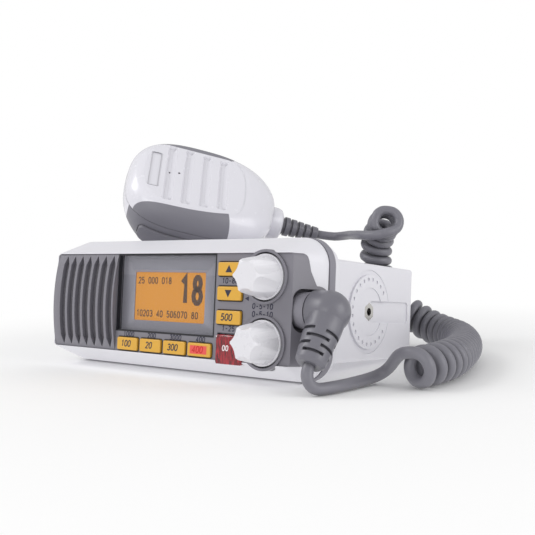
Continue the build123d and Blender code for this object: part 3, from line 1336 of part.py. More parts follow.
def mic_pieces():
    """Every piece of the microphone, in its own frame."""
    return {
        "mic_front_shell": mic_front_shell(), "mic_rear_shell": mic_rear_finish(mic_rear_shell()),
        "mic_front_grips": [mic_front_grip(side) for side in (1, -1)],
        "mic_rear_grips": [mic_rear_grip(side) for side in (1, -1)],
        "mic_ptt": ptt_key(), "mic_collar": mic_collar(),
        "mic_sleeve": mic_sleeve(), "mic_stud": mic_stud(), "mic_board": mic_board(),
        "mic_capsule": mic_capsule(), "mic_switch": ptt_switch(), "mic_screws": mic_screws(),
    }


def cord_pieces():
    """The cord's straight stretches and the coil's outer shape, in the standing frame."""
    pieces = {"cord_lead": tube("cord_lead", LEAD_ROUTE, CORD_R),
              "cord_tail": tube("cord_tail", TAIL_ROUTE, CORD_R)}
    for name, points in zip(("coil_side", "coil_corner", "coil_rise"), coil_stretches()):
        pieces[name] = tube(name, points, COIL_R)
    return pieces


def as_list(piece):
    """A piece's solids."""
    return piece if isinstance(piece, list) else [piece]


def standing_pieces():
    """All pieces in the standing frame, with its origin under the middle of what is not on the cord."""
    place = Plane(MIC_PLACE, x_dir=MIC_AXIS, z_dir=MIC_FACE)
    pieces = {name: as_list(piece) for name, piece in radio_pieces().items()}
    for name, piece in mic_pieces().items():
        pieces[name] = [place * solid for solid in as_list(piece)]
    pieces = {name: [stand(solid) for solid in solids] for name, solids in pieces.items()}
    boxes = [solid.bounding_box() for name, solids in pieces.items() if name not in PLUG_PIECES
             for solid in solids]
    for axis in "XYZ":
        low = min(getattr(box.min, axis) for box in boxes)
        high = max(getattr(box.max, axis) for box in boxes)
        print(f"{axis} {low:.2f} to {high:.2f}, middle {(low + high) / 2:.3f}")
    pieces.update({name: as_list(piece) for name, piece in cord_pieces().items()})
    return pieces


if __name__ == "__main__":
    os.makedirs("parts", exist_ok=True)
    for node, solids in standing_pieces().items():
        shape = solids[0] if len(solids) == 1 else Compound(children=solids)
        export_step(shape, f"parts/{node}.step")
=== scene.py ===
"""Looks of a marine radio with its fist microphone and curly cord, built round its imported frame.

Lengths are in millimetres in the classes' fields and in metres once they reach Blender. Studio and Lamp
hold metres.
"""

import json
import logging
from dataclasses import dataclass, field
from enum import Enum
from math import acos, atan2, cos, pi, radians, sin
from typing import ClassVar

import bmesh
import bpy
from mathutils import Matrix, Vector

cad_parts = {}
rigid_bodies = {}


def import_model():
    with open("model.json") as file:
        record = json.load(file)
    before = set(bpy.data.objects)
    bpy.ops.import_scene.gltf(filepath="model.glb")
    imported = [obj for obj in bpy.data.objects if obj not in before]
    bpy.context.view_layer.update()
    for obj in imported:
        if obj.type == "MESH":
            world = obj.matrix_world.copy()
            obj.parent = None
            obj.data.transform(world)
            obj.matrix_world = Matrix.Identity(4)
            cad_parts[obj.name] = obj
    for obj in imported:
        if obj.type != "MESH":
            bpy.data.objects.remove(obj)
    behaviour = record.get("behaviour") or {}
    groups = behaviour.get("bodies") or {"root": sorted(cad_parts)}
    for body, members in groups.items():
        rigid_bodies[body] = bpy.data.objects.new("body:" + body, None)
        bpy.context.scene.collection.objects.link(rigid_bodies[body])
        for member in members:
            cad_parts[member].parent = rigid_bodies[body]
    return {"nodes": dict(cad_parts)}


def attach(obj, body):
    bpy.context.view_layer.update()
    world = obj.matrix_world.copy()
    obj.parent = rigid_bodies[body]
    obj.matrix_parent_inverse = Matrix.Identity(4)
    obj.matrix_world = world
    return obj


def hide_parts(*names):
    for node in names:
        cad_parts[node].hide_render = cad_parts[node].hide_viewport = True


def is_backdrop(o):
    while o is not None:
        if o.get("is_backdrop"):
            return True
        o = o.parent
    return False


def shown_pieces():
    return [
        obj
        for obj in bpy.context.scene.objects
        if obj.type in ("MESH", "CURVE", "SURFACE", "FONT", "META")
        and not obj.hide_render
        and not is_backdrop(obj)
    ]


for leftover in list(bpy.data.objects):
    bpy.data.objects.remove(leftover)
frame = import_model()

MM = 0.001
TINY = 1e-6
MITRE_LIMIT = 0.5
Colour = tuple[float, float, float]
Point2 = tuple[float, float]
Point3 = tuple[float, float, float]
Box4 = tuple[float, float, float, float]
Outline = list[Point2]
Line = tuple[str, float, float]
log = logging.getLogger("radio")


class Body(Enum):
    """Bodies that pieces ride on."""
    RADIO = "radio"
    COVER = "cover"
    MICROPHONE = "microphone"
    KEY_1 = "key_1"
    KEY_2 = "key_2"
    KEY_3 = "key_3"
    KEY_4 = "key_4"
    KEY_UP = "key_up"
    KEY_DOWN = "key_down"
    KEY_ENTER = "key_enter"


class Slot(Enum):
    """Material slots of the record, passed along with new pieces; nothing reads them."""
    GLOSS = "white_gloss"
    CORD = "cord_grey"
    RED = "red_key"
    COVER = "red_cover"
    DISPLAY = "display_amber"
    INNER = "inner_plastic"


def tone(red: int, green: int, blue: int) -> Colour:
    """A colour as it shows on screen, 0 to 255, as the linear values that shaders take.

    Args:
        red: red, 0 to 255.
        green: green, 0 to 255.
        blue: blue, 0 to 255.

    Returns:
        The colour, linear, 0 to 1.
    """
    knee, slope, offset, power = 0.04045, 12.92, 0.055, 2.4
    parts = [value / 255 for value in (red, green, blue)]
    return tuple(p / slope if p <= knee else ((p + offset) / (1 + offset)) ** power for p in parts)


# ------------------------------------------------------------------ placing
@dataclass(frozen=True)
class Stance:
    """How the radio stands: nose up, with its middle over the origin."""
    tilt: float = 5.984221
    lift: float = 3.008984
    middle: float = 73.62

    def matrix(self) -> Matrix:
        """Takes the level frame, in metres, to the standing one."""
        shift = Matrix.Translation((0, -self.middle * MM, self.lift * MM))
        return shift @ Matrix.Rotation(-radians(self.tilt), 4, "X")


@dataclass(frozen=True)
class MicPlace:
    """Where the microphone lies: its axis to the cord and the way its face looks."""
    origin: Point3 = (-44.4, 65.7, 115.0)
    axis: Point3 = (0.621, 0.765, -0.170)
    face: Point3 = (0.664, -0.398, 0.633)

    def matrix(self) -> Matrix:
        """Takes the microphone's own frame, in metres, to the standing one.

        Returns:
            The frame's place.
        """
        z = Vector(self.face).normalized()
        x = Vector(self.axis)
        x = (x - z * x.dot(z)).normalized()
        y = z.cross(x)
        turn = Matrix((x, y, z)).transposed().to_4x4()
        return Stance().matrix() @ Matrix.Translation(Vector(self.origin) * MM) @ turn


# ------------------------------------------------------------------ node graphs
class Signal:
    """A value that runs through a material's nodes, with arithmetic."""

    def __init__(self, graph: "Graph", socket: bpy.types.NodeSocket) -> None:
        """Wrap an output socket of one graph."""
        self.graph = graph
        self.socket = socket

    def _math(self, operation: str, first: object, second: object = 0.0) -> "Signal":
        """One Math node over two values or signals."""
        return self.graph.take("ShaderNodeMath", {"operation": operation}, {0: first, 1: second})

    def __add__(self, other: object) -> "Signal":
        """Sum."""
        return self._math("ADD", self, other)

    __radd__ = __add__

    def __sub__(self, other: object) -> "Signal":
        """Difference."""
        return self._math("SUBTRACT", self, other)

    def __rsub__(self, other: object) -> "Signal":
        """Difference from a number."""
        return self._math("SUBTRACT", other, self)

    def __mul__(self, other: object) -> "Signal":
        """Product."""
        return self._math("MULTIPLY", self, other)

    __rmul__ = __mul__

    def __truediv__(self, other: object) -> "Signal":
        """Quotient."""
        return self._math("DIVIDE", self, other)

    def __rtruediv__(self, other: object) -> "Signal":
        """Quotient of a number."""
        return self._math("DIVIDE", other, self)

    def wave(self) -> "Signal":
        """Sine."""
        return self._math("SINE", self)

    def above(self, level: float, soft: float) -> "Signal":
        """0 below a level and 1 above it, over a soft edge."""
        return self.graph.take("ShaderNodeMapRange", {"interpolation_type": "SMOOTHSTEP"},
                               {"Value": self, "From Min": level - soft, "From Max": level + soft})


class Graph:
    """The node tree of one material or of the world."""
    NOISE_ROUGHNESS: float = 0.55
    GAP_SAMPLES: int = 6

    def __init__(self, owner: bpy.types.ID) -> None:
        """Clear the tree of a new material or world.

        Args:
            owner: the material or world.
        """
        owner.use_nodes = True
        self.owner = owner
        self.tree = owner.node_tree
        self.tree.nodes.clear()
        self.spot: Signal | None = None

    def node(self, kind: str, settings: dict, inputs: dict) -> bpy.types.Node:
        """Add a node.

        Args:
            kind: the node's type.
            settings: its properties, set first.
            inputs: values, colours or signals by socket name or number.

        Returns:
            The node.
        """
        made = self.tree.nodes.new(kind)
        for key, value in settings.items():
            setattr(made, key, value)
        for key, value in inputs.items():
            socket = made.inputs[key]
            if isinstance(value, Signal):
                self.tree.links.new(value.socket, socket)
            elif isinstance(value, tuple) and len(value) == 3 and socket.type == "RGBA":
                socket.default_value = (*value, 1.0)
            else:
                socket.default_value = value
        return made

    def take(self, kind: str, settings: dict, inputs: dict, output: int | str = 0) -> Signal:
        """Add a node and wrap one of its outputs."""
        return Signal(self, self.node(kind, settings, inputs).outputs[output])

    def surface(self, shader: Signal, end: str = "ShaderNodeOutputMaterial") -> None:
        """Show a shader on the surface."""
        self.node(end, {}, {"Surface": shader})

    def place(self) -> Signal:
        """The point on the piece, in the shared frame with every joint at rest.

        Returns:
            The point, as a vector signal.
        """
        if self.spot is None:
            self.spot = self.take("ShaderNodeTexCoord", {}, {}, "Object")
        return self.spot

    def along(self, axis: int) -> Signal:
        """One coordinate of the point, in millimetres."""
        return self.take("ShaderNodeSeparateXYZ", {}, {0: self.place()}, axis) / MM

    def noise(self, size: float, detail: float = 3.0) -> Signal:
        """Even noise from 0 to 1 with features of a size in millimetres.

        Args:
            size: size of its features.
            detail: how many finer layers it has.

        Returns:
            The noise.
        """
        inputs = {"Vector": self.place(), "Scale": 1 / (size * MM), "Detail": detail,
                  "Roughness": self.NOISE_ROUGHNESS}
        return self.take("ShaderNodeTexNoise", {}, inputs, "Fac")

    def mix(self, share: object, first: object, second: object) -> Signal:
        """Mix two colours by a share."""
        return self.take("ShaderNodeMix", {"data_type": "RGBA"}, {0: share, 6: first, 7: second}, 2)

    def scale(self, colour: object, share: Signal) -> Signal:
        """Darken or lighten a colour by a signal."""
        return self.take("ShaderNodeVectorMath", {"operation": "SCALE"}, {0: colour, 3: share})

    def painted_gap_shade(self, reach: float) -> Signal:
        """Occlusion used as painted shade: 1 in the open and towards 0 in gaps, as far as a reach in
        millimetres.
        """
        return self.take("ShaderNodeAmbientOcclusion", {"samples": self.GAP_SAMPLES},
                         {"Distance": reach * MM}, "AO")


# ------------------------------------------------------------------ finishes
@dataclass(frozen=True)
class Finish:
    """A moulded or coated surface: colour that wanders, grain, uneven gloss and shade painted into its gaps.
    """
    name: str
    colour: Colour
    rough: float = 0.42
    rough_spread: float = 0.08
    mottle: float = 0.035
    mottle_size: float = 18.0
    broad: float = 0.7
    fine_part: float = 9.0
    gloss_part: float = 5.0
    grain: float = 0.006
    grain_size: float = 0.5
    metal: float = 0.0
    coat: float = 0.0
    coat_rough: float = 0.12
    alpha: float = 1.0
    glow: float = 0.0
    # gap and the reach below set the shade painted into gaps, creases and troughs: how dark it is, and how
    # far it reaches in millimetres.
    gap: float = 0.0
    gap_shade_reach: float = 1.6
    rub: float = 0.05
    rub_size: float = 1.7
    rub_level: Point2 = (0.62, 0.12)

    def paint(self, graph: Graph) -> Signal:
        """The base colour, with painted shade in its gaps where the finish has a gap value.

        Args:
            graph: the material's nodes.

        Returns:
            The colour.
        """
        wander = graph.noise(self.mottle_size) * self.broad
        wander = wander + graph.noise(self.mottle_size / self.fine_part, detail=2) * (1 - self.broad)
        shade = (wander - 0.5) * (2 * self.mottle) + 1.0
        # Painted shade: darker where occlusion finds other surfaces near by.
        if self.gap:
            shade = shade * (1.0 - (1.0 - graph.painted_gap_shade(self.gap_shade_reach)) * self.gap)
        return graph.scale(self.colour, shade)

    def relief(self, graph: Graph) -> Signal:
        """Height of the surface's grain, 0 to 1."""
        return graph.noise(self.grain_size, detail=2)

    def gloss(self, graph: Graph) -> Signal:
        """Roughness: the finish's own, uneven, with faint rubbed patches.

        Args:
            graph: the material's nodes.

        Returns:
            The roughness.
        """
        rubbed = graph.noise(self.mottle_size * self.rub_size, detail=4).above(*self.rub_level) * self.rub
        uneven = (graph.noise(self.mottle_size / self.gloss_part) - 0.5) * (2 * self.rough_spread)
        return uneven + self.rough - rubbed

    def material(self) -> bpy.types.Material:
        """Build the material once and return it.

        Returns:
            The material.
        """
        known = bpy.data.materials.get(self.name)
        if known:
            return known
        graph = Graph(bpy.data.materials.new(self.name))
        colour = self.paint(graph)
        bump = graph.take("ShaderNodeBump", {}, {"Strength": 1.0, "Distance": self.grain * MM,
                                                 "Height": self.relief(graph)})
        inputs = {"Base Color": colour, "Roughness": self.gloss(graph), "Metallic": self.metal,
                  "Coat Weight": self.coat, "Coat Roughness": self.coat_rough, "Alpha": self.alpha,
                  "Normal": bump}
        if self.glow:
            inputs["Emission Color"] = colour
            inputs["Emission Strength"] = self.glow
        graph.surface(graph.take("ShaderNodeBsdfPrincipled", {}, inputs))
        return graph.owner


@dataclass(frozen=True)
class Weave(Finish):
    """Open cloth behind the grille."""
    thread: float = 0.7

    def relief(self, graph: Graph) -> Signal:
        """Two sets of threads that cross."""
        step = 2 * pi / self.thread
        return ((graph.along(0) * step).wave() + (graph.along(2) * step).wave()) * 0.25 + 0.5


@dataclass(frozen=True)
class Brushed(Finish):
    """Turned or plated metal with fine marks one way."""
    stretch: float = 30.0

    def relief(self, graph: Graph) -> Signal:
        """Marks drawn out along X.

        Args:
            graph: the material's nodes.

        Returns:
            The height, 0 to 1.
        """
        run = (1.0, self.stretch, self.stretch)
        drawn = graph.take("ShaderNodeMapping", {}, {0: graph.place(), "Scale": run})
        scale = 1 / (self.grain_size * self.stretch * MM)
        return graph.take("ShaderNodeTexNoise", {}, {"Vector": drawn, "Scale": scale}, "Fac")


@dataclass(frozen=True)
class Tinted(Finish):
    """Clear red cover, streaked where it is thicker."""
    deep: Colour = tone(82, 10, 20)
    run: Point3 = (1.0, 1.0, 0.22)
    streaks: float = 900.0
    streak_level: Point2 = (0.5, 0.2)

    def paint(self, graph: Graph) -> Signal:
        """Streaks that run down the cover.

        Args:
            graph: the material's nodes.

        Returns:
            The colour.
        """
        drawn = graph.take("ShaderNodeMapping", {}, {0: graph.place(), "Scale": self.run})
        streak = graph.take("ShaderNodeTexNoise", {}, {"Vector": drawn, "Scale": self.streaks, "Detail": 2.0},
                            "Fac")
        return graph.mix(streak.above(*self.streak_level), self.colour, self.deep)


@dataclass(frozen=True)
class Gripped(Finish):
    """Glossy shell with a rubber band moulded along its upper edge."""
    band: Colour = tone(124, 123, 131)
    inner: float = 25.6
    ends: Point2 = (-31.5, 27.0)
    slant: float = 0.55
    soft_edge: float = 0.15
    soft_end: float = 0.2

    def paint(self, graph: Graph) -> Signal:
        """The shell's own colour, and the band's between its ends.

        Args:
            graph: the material's nodes.

        Returns:
            The colour.
        """
        spot = MicPlace().matrix()
        origin = tuple(spot.to_translation())
        placed = graph.take("ShaderNodeVectorMath", {"operation": "SUBTRACT"}, {0: graph.place(), 1: origin})
        along, across = (
            graph.take("ShaderNodeVectorMath", {"operation": "DOT_PRODUCT"},
                       {0: placed, 1: tuple(spot.col[axis].to_3d())}, "Value") / MM
            for axis in (0, 1))
        leaning = along - (across - self.inner) * self.slant
        inside = across.above(self.inner, self.soft_edge) * leaning.above(self.ends[0], self.soft_end)
        share = inside * (1.0 - leaning.above(self.ends[1], self.soft_end))
        return graph.mix(share, super().paint(graph), self.band)


@dataclass(frozen=True)
class Backlit(Finish):
    """A panel lit from behind, brighter in its middle than at its edges."""
    edge: Colour = tone(186, 117, 18)
    middle: Point2 = (2.0, 41.0)
    reach: Point2 = (34.0, 19.0)
    fall_level: Point2 = (0.85, 0.6)
    fall_share: float = 0.6

    def paint(self, graph: Graph) -> Signal:
        """Lit colour that falls off to the edges.

        Args:
            graph: the material's nodes.

        Returns:
            The colour.
        """
        across = (graph.along(0) - self.middle[0]) / self.reach[0]
        up = (graph.along(2) - self.middle[1]) / self.reach[1]
        fall = (across * across + up * up).above(*self.fall_level)
        return graph.mix(fall * self.fall_share, self.colour, self.edge)


@dataclass(frozen=True)
class PrintWithPaintedReflection(Finish):
    """Printed sheet behind the window, with a painted reflection: a lighter tone above a level and a darker
    one below.
    """
    lower: Colour = tone(148, 147, 157)
    step: float = 53.0
    soft_step: float = 0.35

    def paint(self, graph: Graph) -> Signal:
        """Painted reflection: the lighter tone above a level and the darker one below."""
        share = graph.along(2).above(self.step, self.soft_step)
        return graph.mix(share, self.lower, self.colour)


@dataclass(frozen=True)
class Circuit(Finish):
    """Coated circuit board with its tracks showing through."""
    track: Colour = tone(28, 104, 62)
    cells: float = 160.0
    track_level: Point2 = (0.42, 0.05)

    def paint(self, graph: Graph) -> Signal:
        """Tracks as blocks of a lighter green.

        Args:
            graph: the material's nodes.

        Returns:
            The colour.
        """
        cells = graph.take("ShaderNodeTexVoronoi", {"feature": "F1", "distance": "CHEBYCHEV"},
                           {"Vector": graph.place(), "Scale": self.cells}, "Distance")
        return graph.mix(cells.above(*self.track_level), self.colour, self.track)


# Where a finish has a gap value, shade is painted into its gaps, creases and troughs.
WHITE = Finish("moulded_white", tone(222, 221, 227), rough=0.38, grain=0.004, gap=0.3, mottle=0.015)
HOUSING = Finish("housing_white", tone(222, 221, 227), rough=0.4, grain=0.004, gap=0.06, mottle=0.015)
WHITE_GLOSS = Finish("glossy_white", tone(220, 219, 226), rough=0.24, rough_spread=0.05, grain=0.0015,
                     gap=0.5, gap_shade_reach=2.5, coat=0.35, mottle=0.012)
MIC_FRONT = Gripped("gripped_white", tone(220, 219, 226), rough=0.26, rough_spread=0.05, grain=0.0015,
                    gap=0.5, gap_shade_reach=2.5, coat=0.3, mottle=0.012)
KNOB_WHITE = Finish("knob_white", tone(219, 218, 223), rough=0.3, grain=0.003, gap=0.25, mottle=0.012)
PANEL = Finish("panel_coating", tone(122, 120, 128), rough=0.42, grain=0.008, gap=0.35, gap_shade_reach=2.0,
               mottle=0.03)
# The window print's two tones are a painted reflection on the lens.
MASK = PrintWithPaintedReflection("window_print_painted_reflection", tone(158, 157, 167), rough=0.2, coat=0.6, grain=0.001)
RUBBER = Finish("grip_rubber", tone(124, 123, 131), rough=0.45, grain=0.012, grain_size=0.35, gap=0.4,
                mottle=0.03)
GASKET = Finish("gasket_rubber", tone(134, 132, 141), rough=0.55, grain=0.012, grain_size=0.4, gap=0.4)
CORD = Finish("cord_jacket", tone(116, 115, 123), rough=0.42, rough_spread=0.07, grain=0.006, grain_size=0.8,
              gap=0.65, gap_shade_reach=3.0, mottle=0.03)
BOOT = Finish("boot_rubber", tone(110, 109, 117), rough=0.34, grain=0.006, grain_size=0.6, gap=0.75,
              gap_shade_reach=2.0, mottle=0.03)
# The keys' faint glow is painted light, standing in for light through the translucent moulding.
AMBER = Finish("amber_moulding", tone(209, 160, 58), rough=0.35, grain=0.002, gap=0.35, gap_shade_reach=0.8,
               glow=0.06, mottle=0.04, mottle_size=7.0)
COVER_RED = Tinted("tinted_red", tone(172, 34, 48), rough=0.16, coat=0.8, alpha=0.93, grain=0.002)
RED = Finish("red_print", tone(222, 84, 78), rough=0.4, grain=0.002)
KEY_RED = Finish("red_moulding", tone(196, 34, 30), rough=0.4, grain=0.003)
CLEAR = Finish("clear_window", tone(190, 192, 198), rough=0.04, rough_spread=0.015, rub=0.0, alpha=0.035,
               grain=0.0003)
GLOW = Backlit("backlight", tone(198, 131, 24), rough=0.35, glow=0.15, grain=0.001)
INK = Finish("dark_print", tone(38, 38, 58), rough=0.5, grain=0.002, mottle=0.08)
SEGMENT = Finish("display_segment", tone(74, 48, 28), rough=0.4, grain=0.001, glow=0.05, mottle=0.05)
PALE_INK = Finish("pale_print", tone(226, 214, 216), rough=0.5, grain=0.002)
# Black used for painted shade: strips in the window's recess, a band round the window and rings round the
# keys.
PAINTED_SHADE = Finish("painted_shade_black", tone(26, 26, 32), rough=0.4, grain=0.004)
DARK = Finish("inner_black", tone(52, 52, 56), rough=0.5, grain=0.006)
CASTING = Finish("cast_metal", tone(112, 114, 118), rough=0.5, metal=0.75, grain=0.02, grain_size=0.7,
                 gap=0.4, mottle=0.08)
STEEL = Brushed("plated_steel", tone(176, 176, 178), rough=0.3, metal=1.0, grain=0.003, grain_size=0.3)
TIN = Brushed("tinned_metal", tone(196, 196, 196), rough=0.24, metal=1.0, grain=0.002, grain_size=0.3)
BRASS = Brushed("turned_insert", tone(196, 194, 190), rough=0.26, metal=1.0, grain=0.004, grain_size=0.25,
                gap=0.3)
BOARD = Circuit("coated_board", tone(14, 72, 40), rough=0.35, coat=0.4, grain=0.01, grain_size=1.5)
MAT = Finish("silicone_mat", tone(205, 205, 200), rough=0.6)
CLOTH = Weave("grille_cloth", tone(98, 96, 102), rough=0.85, grain=0.15)
PAPER = Finish("cone_paper", tone(58, 56, 54), rough=0.8, grain=0.05, grain_size=1.2, mottle=0.1)
MAGNET = Brushed("magnet_plate", tone(110, 110, 112), rough=0.4, metal=0.9, grain=0.01)

NODE_FINISHES: dict[Finish, tuple[str, ...]] = {
    WHITE: ("bezel",),
    HOUSING: ("housing",),
    KNOB_WHITE: ("volume_knob", "squelch_knob"),
    MIC_FRONT: ("mic_front_shell",),
    WHITE_GLOSS: ("mic_rear_shell", "mic_collar"),
    PANEL: ("front_panel",),
    MASK: ("lens_mask",),
    CLEAR: ("lens",),
    GLOW: ("display_module",),
    GASKET: ("gasket", "plug_ring", "lead_gland"),
    RUBBER: ("mic_front_grips", "mic_rear_grips", "mic_ptt"),
    BOOT: ("plug_boot", "mic_sleeve"),
    CORD: ("cord_lead", "coil_side", "coil_corner", "coil_rise", "cord_tail"),
    AMBER: ("key_1", "key_2", "key_3", "key_4", "key_up", "key_down", "key_enter"),
    COVER_RED: ("distress_cover",),
    KEY_RED: ("distress_key",),
    DARK: ("display_frame", "speaker_gasket", "power_module", "mic_jack", "mic_switch", "pots"),
    BOARD: ("front_board", "main_board", "mic_board"),
    MAT: ("key_mat",),
    STEEL: ("cover_pin", "pot_nuts", "speaker_basket", "tray", "screws", "mic_screws", "mic_stud",
            "volume_shaft", "squelch_shaft"),
    TIN: ("shield_can", "antenna_socket", "mic_capsule"),
    BRASS: ("bracket_inserts",),
    CASTING: ("heat_sink",),
    CLOTH: ("speaker_cloth",),
    PAPER: ("speaker_cone",),
    MAGNET: ("speaker_magnet",),
}


# ------------------------------------------------------------------ building meshes and curves
def add_piece(name: str, data: bpy.types.ID, finish: Finish, body: Body) -> bpy.types.Object:
    """Put a mesh or curve into the scene as a piece with its finish, riding its body.

    Args:
        name: the piece's name.
        data: its mesh or curve.
        finish: its finish.
        body: the body that it rides on.

    Returns:
        The object.
    """
    made = bpy.data.objects.new(name, data)
    bpy.context.scene.collection.objects.link(made)
    data.materials.append(finish.material())
    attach(made, body.value)
    return made


def smooth_line(name: str, points: list[Vector], fine: int) -> bpy.types.Curve:
    """A smooth curve near its control points.

    Args:
        name: the curve's name.
        points: control points, in metres.
        fine: segments between control points.

    Returns:
        The curve.
    """
    made = bpy.data.curves.new(name, "CURVE")
    made.dimensions = "3D"
    made.resolution_u = fine
    spline = made.splines.new("NURBS")
    spline.points.add(len(points) - 1)
    for spot, point in zip(spline.points, points):
        spot.co = (*point, 1.0)
    spline.order_u = 3
    spline.use_endpoint_u = True
    return made


def thicken(curve: bpy.types.Curve, radius: float, roundness: int) -> None:
    """Give a curve a closed round section.

    Args:
        curve: the curve.
        radius: the section's radius, in millimetres.
        roundness: how finely the section is divided.
    """
    curve.bevel_depth = radius * MM
    curve.bevel_resolution = roundness
    curve.use_fill_caps = True


class Build:
    """Collects flat and solid shapes in one frame and turns them into a piece."""

    def __init__(self, name: str, matrix: Matrix) -> None:
        """Start a piece whose shapes are in a frame's millimetres.

        Args:
            name: the piece's name.
            matrix: the frame's place.
        """
        self.name = name
        self.matrix = matrix
        self.mesh = bmesh.new()

    def prism(self, outline: Outline, front: float, back: float) -> None:
        """A plate across the radio: an outline of (X, Z) between two depths.

        Args:
            outline: corners, in order.
            front: the nearer depth.
            back: the farther depth.
        """
        near = [self.mesh.verts.new(Vector((x, front, z)) * MM) for x, z in outline]
        far = [self.mesh.verts.new(Vector((x, back, z)) * MM) for x, z in outline]
        self.mesh.faces.new(near)
        self.mesh.faces.new(list(reversed(far)))
        for index, vert in enumerate(near):
            nxt = (index + 1) % len(near)
            self.mesh.faces.new((near[nxt], vert, far[index], far[nxt]))

    def prisms(self, outlines: list[Outline], front: float, back: float) -> None:
        """A plate for each of several outlines."""
        for outline in outlines:
            self.prism(outline, front, back)

    def loop(self, outline: list[Vector], section: list[Vector]) -> None:
        """Sweep a closed section, given as offsets, along a closed outline, one copy at each point.

        Args:
            outline: points of the closed line.
            section: offsets of the section from each point.
        """
        rings = [[self.mesh.verts.new((p + s) * MM) for s in section] for p in outline]
        for ring, after in zip(rings, rings[1:] + rings[:1]):
            self.bridge(ring, after)

    def bridge(self, ring: list[bmesh.types.BMVert], after: list[bmesh.types.BMVert]) -> None:
        """Join two rings of as many points with faces.

        Args:
            ring: the first ring.
            after: the next ring.
        """
        for index in range(len(ring)):
            nxt = (index + 1) % len(ring)
            self.mesh.faces.new((ring[index], ring[nxt], after[nxt], after[index]))

    def piece(self, finish: Finish, body: Body, slot: Slot, smooth: bool = False) -> None:
        """Make the object, give it its finish, and let it ride its body.

        Args:
            finish: the finish.
            body: the body that it rides on.
            slot: the material slot; not used.
            smooth: whether its faces are shaded smooth.
        """
        bmesh.ops.recalc_face_normals(self.mesh, faces=self.mesh.faces)
        for face in self.mesh.faces:
            face.smooth = smooth
        self.mesh.transform(self.matrix)
        data = bpy.data.meshes.new(self.name)
        self.mesh.to_mesh(data)
        self.mesh.free()
        add_piece(self.name, data, finish, body)


def arc(cx: float, cy: float, rx: float, ry: float, start: float, end: float, steps: int = 10) -> Outline:
    """Points on an ellipse from one angle to another, in degrees."""
    turns = [radians(start + (end - start) * i / steps) for i in range(steps + 1)]
    return [(cx + rx * cos(a), cy + ry * sin(a)) for a in turns]


def rounded(x0: float, x1: float, y0: float, y1: float, r: float, steps: int = 5) -> Outline:
    """A rounded rectangle."""
    corners = ((x1 - r, y1 - r, 0), (x0 + r, y1 - r, 90), (x0 + r, y0 + r, 180), (x1 - r, y0 + r, 270))
    return [p for x, y, a in corners for p in arc(x, y, r, r, a, a + 90, steps)]


def strips(x0: float, x1: float, y0: float, y1: float, width: float) -> list[Outline]:
    """Four strips of one width that line a rectangle from inside.

    Args:
        x0: left side.
        x1: right side.
        y0: lower side.
        y1: upper side.
        width: the strips' width.

    Returns:
        The strips.
    """
    sides = ((x0, x0 + width, y0, y1), (x1 - width, x1, y0, y1),
             (x0 + width, x1 - width, y1 - width, y1), (x0 + width, x1 - width, y0, y0 + width))
    return [[(a, c), (b, c), (b, d), (a, d)] for a, b, c, d in sides]


def ribbon(path: Outline, width: float, closed: bool = False) -> list[Outline]:
    """Turn a line into four-sided outlines of a width, mitred where they meet.

    Args:
        path: points of the line.
        width: the line's width.
        closed: whether the last point joins the first.

    Returns:
        One outline for each run.
    """
    points = [Vector(p) for p in path]
    count = len(points)
    sides = []
    for i, point in enumerate(points):
        before = points[i - 1] if i or closed else point - (points[1] - point)
        after = points[(i + 1) % count] if i < count - 1 or closed else point + (point - points[i - 1])
        a = (point - before).normalized()
        b = (after - point).normalized()
        normal = Vector((-a.y - b.y, a.x + b.x))
        normal = normal.normalized() if normal.length > TINY else Vector((-a.y, a.x))
        reach = width / 2 / max(MITRE_LIMIT, normal.dot(Vector((-a.y, a.x))))
        sides.append((point + normal * reach, point - normal * reach))
    runs = count if closed else count - 1
    return [[tuple(sides[i][0]), tuple(sides[(i + 1) % count][0]), tuple(sides[(i + 1) % count][1]),
             tuple(sides[i][1])] for i in range(runs)]


